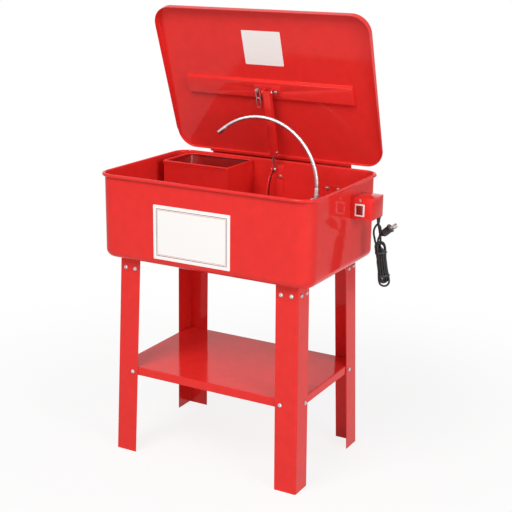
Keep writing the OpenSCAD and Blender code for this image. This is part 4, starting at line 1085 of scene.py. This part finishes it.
class WASHER_OT_lid(bpy.types.Operator):
    """Lid with its flange, stiffener and hinge"""

    bl_idname = "washer.lid"
    bl_label = "Lid"

    def knuckles(self):
        size = sizes()
        low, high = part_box("hinge_pin")
        pitch = (high.x - low.x) / size.knuckle_count
        axis = (low + high) / 2
        given = {
            "Knuckles": size.knuckle_count,
            "Pitch": pitch,
            "Gap": 0.5 * MM,
            "Barrel Radius": size.knuckle_radius,
            "Leaf": size.lid_sheet,
            "Leg": size.knuckle_radius + 2 * MM,
            "Start": Vector((low.x + pitch / 2, axis.y, axis.z)),
        }
        grown("hinge_knuckles", piano_hinge_tree(), "tank", "red_enamel", given)

    def rear_lip(self, back_face, foot):
        """Lip turned back from the rear flange, which closes the gap over the hinge."""
        sheet, lip = sizes().lid_sheet, sizes().lid_lip
        low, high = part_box("hinge_pin")
        reach = lip + sheet
        middle = Vector(((low.x + high.x) / 2, back_face + lip - reach / 2, foot + sheet / 2))
        bulk = Matrix.Diagonal((high.x - low.x, reach, sheet, 1))
        bm = bmesh.new()
        bmesh.ops.create_cube(bm, size=1, matrix=lid_up() @ Matrix.Translation(middle) @ bulk)
        bmesh.ops.bevel(bm, geom=bm.edges[:], offset=0.3 * MM, segments=2, profile=0.5, affect="EDGES")
        piece("lid_rear_lip", bm, "lid", "red_enamel")

    def shell(self, half_y, back):
        """The pressed lid, from a section of distance out, height and share of the flange's depth."""
        size = sizes()
        bend, sheet, top, near = size.lid_bend, size.lid_sheet, LID_TOP, 4 * MM
        rear = half_y + back - size.lid_corner - bend
        section = [(-bend - FLAT_RING, top, 0), (-bend - near, top, 0)]
        section += [(o, z, 0) for o, z in arc((-bend, top - bend), bend, 90, 0, 8)]
        section += [(0, top, 0.4), (0, top, 1)]
        section += [(-sheet, top, 1), (-sheet, top, 0.4)]
        section += [(o, z, 0) for o, z in arc((-bend, top - bend), bend - sheet, 0, 90, 8)]
        section += [(-bend - near, top - sheet, 0), (-bend - FLAT_RING, top - sheet, 0)]
        lift = lid_up()
        rings = []
        for out, height, down in section:
            ring = []
            for p in rounded_ring(LID_HALF_X + out, half_y + out, size.lid_corner + out, 14):
                blend = min(1, max(0, (p.y + back - rear + FLANGE_FADE) / FLANGE_FADE))
                flange = size.lid_flange + (size.lid_rear_flange - size.lid_flange) * blend
                drop = bend + (flange - bend) * down if down else 0
                ring.append(lift @ Vector((MIDDLE.x + p.x, MIDDLE.y + back + p.y, height - drop)))
            rings.append(ring)
        bm = bmesh.new()
        skin(bm, rings)
        piece("enamelled_lid", bm, "lid", "red_enamel", ["lid"])

    def execute(self, context):
        size = sizes()
        back = size.lid_back / 2
        half_y = LID_FRONT + back
        self.shell(half_y, back)
        self.rear_lip(MIDDLE.y + back + half_y, LID_TOP - size.lid_rear_flange)
        self.knuckles()
        dress("red_enamel", 1.0, "lid_stiffener")
        dress("red_enamel", 0.25, "hinge_tank_leaf", "hinge_lid_leaf")
        dress("zinc_steel", 0.3, "hinge_pin")
        return {"FINISHED"}


# A leg's foot off the tank's middle, how far its top comes in, in metres, and the side and end of each leg
LEG_FOOT = (0.314, 0.212)
LEG_SPLAY = (0.016, 0.0185)
LEGS = {
    "front_left_leg": (-1, -1),
    "front_right_leg": (1, -1),
    "rear_left_leg": (-1, 1),
    "rear_right_leg": (1, 1),
}


class WASHER_OT_stand(bpy.types.Operator):
    """Folded legs and the shelf between them"""

    bl_idname = "washer.stand"
    bl_label = "Legs and shelf"

    def leg(self, name, side, end):
        """An angle folded from sheet, its edges eased, leaning with the splay."""
        size = sizes()
        wide, thick, bend = size.leg_flange, size.leg_sheet, size.leg_bend
        nick, fold = 0.5 * MM, -bend - 4 * MM
        corner = arc((-bend, -bend), bend, 90, 0, 8)
        hollow = arc((-bend, -bend), bend - thick, 0, 90, 8)
        profile = [(-wide, -nick), (-wide + nick, 0), (fold, 0)] + corner
        profile += [(0, fold), (0, -wide + nick), (-nick, -wide), (-thick + nick, -wide)]
        profile += [(-thick, -wide + nick), (-thick, fold)] + hollow
        profile += [(fold, -thick), (-wide + nick, -thick), (-wide, -thick + nick)]
        high = TANK_LOW.z
        lean_x, lean_y = (math.atan(splay / high) for splay in LEG_SPLAY)
        turn = Matrix.Rotation(-lean_x, 3, "Y") @ Matrix.Rotation(lean_y, 3, "X")
        axis = turn @ Vector((0, 0, 1))
        rings = []
        for height in (0, high * 0.5, high):
            ring = []
            for x, y in profile:
                point = Vector((*LEG_FOOT, 0)) + turn @ Vector((x, y, 0))
                point += axis * ((height - point.z) / axis.z)
                ring.append(Vector((MIDDLE.x + side * point.x, MIDDLE.y + end * point.y, point.z)))
            rings.append(ring)
        bm = bmesh.new()
        skin(bm, rings)
        piece(name + "_folded", bm, "tank", "red_enamel", [name])

    def shelf(self):
        """A pan turned upside down."""
        size = sizes()
        low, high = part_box("shelf")
        bend, sheet, top, near = size.shelf_bend, size.sheet, high.z, 3 * MM
        section = [(-bend - FLAT_RING, top), (-bend - near, top)]
        section += arc((-bend, top - bend), bend, 90, 0, 6)
        section += [(0, top - bend - near), (0, low.z), (-sheet, low.z), (-sheet, top - bend - near)]
        section += arc((-bend, top - bend), bend - sheet, 0, 90, 6)
        section += [(-bend - near, top - sheet), (-bend - FLAT_RING, top - sheet)]
        half = (high - low) / 2
        bm = bmesh.new()
        skin(bm, pan(section, half.x, half.y, size.shelf_corner, 6, low + half))
        piece("enamelled_shelf", bm, "tank", "red_enamel", ["shelf"])

    def execute(self, context):
        for name, (side, end) in LEGS.items():
            self.leg(name, side, end)
        self.shelf()
        return {"FINISHED"}


class WASHER_OT_bolts(bpy.types.Operator):
    """Hexagon bolts of the legs and the shelf, with their nuts"""

    bl_idname = "washer.bolts"
    bl_label = "Bolts"

    def execute(self, context):
        size = sizes()
        tree = hex_bolt_tree()
        for node in ("leg_bolts", "shelf_bolts"):
            places = bolt_places(node)
            base = bpy.data.meshes.new(node + "_places")
            base.from_pydata([spot for spot, _, _ in places], [], [])
            looks = base.attributes.new("looks", "FLOAT_VECTOR", "POINT")
            for i, (_, axis, _) in enumerate(places):
                looks.data[i].vector = axis
            given = {
                "Head Radius": size.bolt_head_radius,
                "Head Height": size.bolt_head_height,
                "Shank Radius": size.bolt_shank_radius,
                "Shank Length": places[0][2],
            }
            grown(node + "_hex", tree, "tank", "zinc_steel", given, [node], base=base)
        dress("zinc_steel", 0.35, "leg_nuts", "shelf_nuts")
        return {"FINISHED"}


# How far the slot's lips reach from the pin's path, and how deep they are, in millimetres
LIP_SECTION = ((0.3, 0), (6.2, 0), (6.2, 1), (1.2, 1), (0.3, 0.5))
LIP_STEPS = 28


class WASHER_OT_lid_arm(bpy.types.Operator):
    """Arm that holds the lid open, with its bracket, link and guide"""

    bl_idname = "washer.lid_arm"
    bl_label = "Lid arm"

    def slide(self, steps):
        """Where the sliding pin goes as the lid shuts, from its joints and their coupling."""
        hinge = Vector(JOINTS["lid_hinge"]["pos_m"])
        pivot = Vector(JOINTS["arm_pivot"]["pos_m"])
        low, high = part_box("sliding_pin")
        pin = (low + high) / 2
        couplings = frame["record"]["behaviour"]["couplings"]
        ratio = next(c["ratio"] for c in couplings if c["joint"] == "arm_pivot")
        first, last = JOINTS["lid_hinge"]["range_deg"]
        path = []
        for step in range(steps + 1):
            turn = math.radians(last - first) * step / steps
            arm = Matrix.Rotation(ratio * turn, 3, "X") @ (pin - pivot) + pivot
            path.append(Matrix.Rotation(turn, 3, "X") @ (arm - hinge) + hinge)
        return path

    def slot_shade_lips(self):
        """Rubber lips that close the guide's slot from behind and part round the pin. Their black stands in
        for the shade in the slot.
        """
        path = self.slide(LIP_STEPS)
        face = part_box("arm_guide")[0].x
        bm = bmesh.new()
        for side in (-1, 1):
            rings = []
            for i, point in enumerate(path):
                along = (path[min(i + 1, LIP_STEPS)] - path[max(i - 1, 0)]).normalized()
                out = Vector((0, -along.z, along.y)) * side
                ring = []
                for reach, depth in LIP_SECTION:
                    ring.append(Vector((face - depth * MM, point.y, point.z)) + out * reach * MM)
                rings.append(ring)
            skin(bm, rings)
        # The lips are black: a dark piece put in the slot as painted shade
        piece("slot_shade_lips", bm, "tank", "black_rubber")

    def execute(self, context):
        dress("red_enamel", 0.5, "arm_bracket")
        dress("zinc_steel", 0.3, "bracket_bolts", "pivot_pin", "fusible_link")
        dress("red_enamel", 0.5, "lid_arm")
        dress("zinc_steel", 0.3, "arm_link", "link_bolt", "sliding_pin")
        dress("red_enamel", 0.3, "arm_guide")
        dress("zinc_steel", 0.3, "guide_bolts")
        self.slot_shade_lips()
        return {"FINISHED"}


NECK_MIDDLE = (5, 110, 830)


class WASHER_OT_spout(bpy.types.Operator):
    """Gooseneck spout and what carries it"""

    bl_idname = "washer.spout"
    bl_label = "Spout"

    def execute(self, context):
        size = sizes()
        given = {
            "Bend Radius": size.neck_bend,
            "Turn": size.neck_turn,
            "Tube Radius": size.neck_radius,
            "Rib Pitch": size.neck_rib_pitch,
            "Rib Depth": size.neck_rib_depth,
            "Middle": at(*NECK_MIDDLE),
        }
        grown("wound_gooseneck", gooseneck_tree(), "spout", "bright_steel", given, ["gooseneck"], 60)
        dress("bright_steel", 0.5, "spout_elbow")
        dress("bright_steel", 0.4, "spout_nozzle")
        dress("bright_steel", 0.5, "spout_fork")
        dress("zinc_steel", 0.3, "fold_pin")
        dress("bright_steel", 0.3, "riser_pipe")
        dress("red_enamel", 0.4, "spout_stay")
        dress("zinc_steel", 0.3, "stay_bolts")
        return {"FINISHED"}


# In millimetres: the pump's foot, the profiles of its motor and gland as radius and height, its fins, and
# the two ends of its cable's route, each from its own start.
PUMP_X, PUMP_Y, PUMP_LOW = 262, 95, 654.5
MOTOR_PROFILE = [
    *((3.3, 0), (38.6, 0), (39.6, 1), (39.6, 5), (37, 6.5), (37, 69), (39.6, 70.5), (39.6, 74)),
    *((38.4, 75.6), (34, 76.2), (33.6, 82), (32, 83.6), (14, 84), (12, 83), (3.3, 83)),
]
GLAND_HEIGHT = 42
GLAND_PROFILE = [(7, 30), (7, 44), (6.4, 44.6), (5.6, 45), (5.6, 46.4), (5.2, 46.8), (5.2, 48.2), (4.4, 49)]
FIN_RING = 38.2
FIN_HEIGHT = 37.8
FIN_SIZE = (3.2, 1.8, 63)
GROMMET = (339.5, 95, 798)
GROMMET_ROUTE = [(0, 0, 0), (-8, 0, 0), (-16, 0, -4), (-20, 0, -12)]
MOTOR_GLAND = (311, 95, 696.5)
MOTOR_ROUTE = [(14, 0, 16), (12, 0, 8), (7, 0, 0), (0, 0, 0)]


class WASHER_OT_pump(bpy.types.Operator):
    """Submersible pump with its finned motor, impeller and cable"""

    bl_idname = "washer.pump"
    bl_label = "Pump"

    def motor(self):
        """Turned housing with a gland at its side, and the fins round it."""
        bm = bmesh.new()
        lathe(bm, MOTOR_PROFILE, Matrix.Translation(at(PUMP_X, PUMP_Y, PUMP_LOW)), 64)
        side = Matrix.Translation(at(PUMP_X, PUMP_Y, PUMP_LOW + GLAND_HEIGHT))
        lathe(bm, GLAND_PROFILE, side @ Matrix.Rotation(math.pi / 2, 4, "Y"), 28)
        piece("motor_housing", bm, "tank", "dark_plastic", ["pump_motor"], 40)
        given = {
            "Fins": sizes().motor_fins,
            "Ring Radius": FIN_RING * MM,
            "Fin Size": Vector(FIN_SIZE) * MM,
            "Middle": at(PUMP_X, PUMP_Y, PUMP_LOW + FIN_HEIGHT),
        }
        grown("motor_fins", fin_tree(), "tank", "dark_plastic", given)

    def execute(self, context):
        size = sizes()
        self.motor()
        route = shifted(GROMMET_ROUTE, GROMMET) + shifted(MOTOR_ROUTE, MOTOR_GLAND)
        cable = soft_line("pump_lead", route, size.cable_radius, "tank", "black_rubber", ["pump_cable"])
        dress("dark_plastic", 0.8, "pump_base")
        dress("grey_plastic", 0.3, "pump_impeller")
        dress("black_rubber", 0.8, "cable_grommet")
        return {"FINISHED"}


class WASHER_OT_switch(bpy.types.Operator):
    """Switch box with its plate, bezel and rocker"""

    bl_idname = "washer.switch"
    bl_label = "Switch box"

    def execute(self, context):
        dress("red_enamel", 1.0, "switch_box")
        dress("zinc_steel", 0.2, "box_screws")
        dress("red_enamel", 0.4, "switch_plate")
        dress("zinc_steel", 0.4, "plate_screw")
        dress("white_plastic", 0.6, "switch_bezel")
        dress("rocker_red", 0.5, "rocker")
        return {"FINISHED"}


# The card's middle on the shut lid in millimetres, and its half sizes and thickness in metres
CARD_MIDDLE = (-3, -115, 876.8)
CARD_HALF = (0.065, 0.054)
CARD_THICK = 0.0004
# Growth in millimetres and share of the thickness along a film's edge, and its corner radius
FILM_EDGE = ((0, 0), (0, 0.7), (-0.3, 1), (-2, 1))
FILM_CORNER = 3


class WASHER_OT_labels(bpy.types.Operator):
    """Plain label on the tank and plain card on the lid"""

    bl_idname = "washer.labels"
    bl_label = "Label and card"

    def film(self, name, node, body, half_x, half_up, thick, place, border):
        """A thin film with round corners, from its own middle, facing along its own Z."""
        corner = FILM_CORNER * MM
        rings = []
        for growth, share in FILM_EDGE:
            grow = growth * MM
            ring = rounded_ring(half_x + grow, half_up + grow, corner + grow, 6, corner)
            rings.append([place @ Vector((p.x, p.y, share * thick)) for p in ring])
        bm = bmesh.new()
        skin(bm, rings)
        up = place.to_3x3() @ Vector((0, 1, 0))
        material = printed_film(name + "_vinyl", place.translation, half_x, half_up, up, border)
        piece(name, bm, body, "white_film", [node], 25, material)

    def execute(self, context):
        low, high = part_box("front_label")
        half = (high - low) / 2
        face = Matrix.Translation((low.x + half.x, high.y, low.z + half.z))
        upright = face @ Matrix.Rotation(math.pi / 2, 4, "X")
        self.film("tank_label", "front_label", "tank", half.x, half.z, 2 * half.y, upright, True)
        flat = lid_up() @ Matrix.Translation(at(*CARD_MIDDLE)) @ Matrix.Rotation(math.pi, 4, "X")
        self.film("lid_card_film", "lid_card", "lid", *CARD_HALF, CARD_THICK, flat, False)
        return {"FINISHED"}


OPERATORS = (
    WASHER_OT_stage,
    WASHER_OT_cord,
    WASHER_OT_tank,
    WASHER_OT_lid,
    WASHER_OT_stand,
    WASHER_OT_bolts,
    WASHER_OT_lid_arm,
    WASHER_OT_spout,
    WASHER_OT_pump,
    WASHER_OT_switch,
    WASHER_OT_labels,
)


class WASHER_PT_panel(bpy.types.Panel):
    """Sizes, colours and pieces of the washer"""

    bl_idname = "WASHER_PT_panel"
    bl_label = "Parts washer"
    bl_space_type = "VIEW_3D"
    bl_region_type = "UI"
    bl_category = "Washer"

    def draw(self, context):
        layout = self.layout
        for group in (context.scene.washer_sizes, context.scene.washer_colours):
            box = layout.box()
            for name in group.__annotations__:
                box.prop(group, name)
        for operator in OPERATORS:
            layout.operator(operator.bl_idname)


CLASSES = (WasherSizes, WasherColours) + OPERATORS + (WASHER_PT_panel,)


def register():
    for cls in CLASSES:
        bpy.utils.register_class(cls)
    bpy.types.Scene.washer_sizes = PointerProperty(type=WasherSizes)
    bpy.types.Scene.washer_colours = PointerProperty(type=WasherColours)


def unregister():
    del bpy.types.Scene.washer_colours
    del bpy.types.Scene.washer_sizes
    for cls in reversed(CLASSES):
        bpy.utils.unregister_class(cls)


def main():
    register()
    bpy.ops.washer.stage()
    bpy.ops.washer.cord()
    bpy.ops.washer.tank()
    bpy.ops.washer.lid()
    bpy.ops.washer.stand()
    bpy.ops.washer.bolts()
    bpy.ops.washer.lid_arm()
    bpy.ops.washer.spout()
    bpy.ops.washer.pump()
    bpy.ops.washer.switch()
    bpy.ops.washer.labels()


if __name__ == "__main__":
    main()
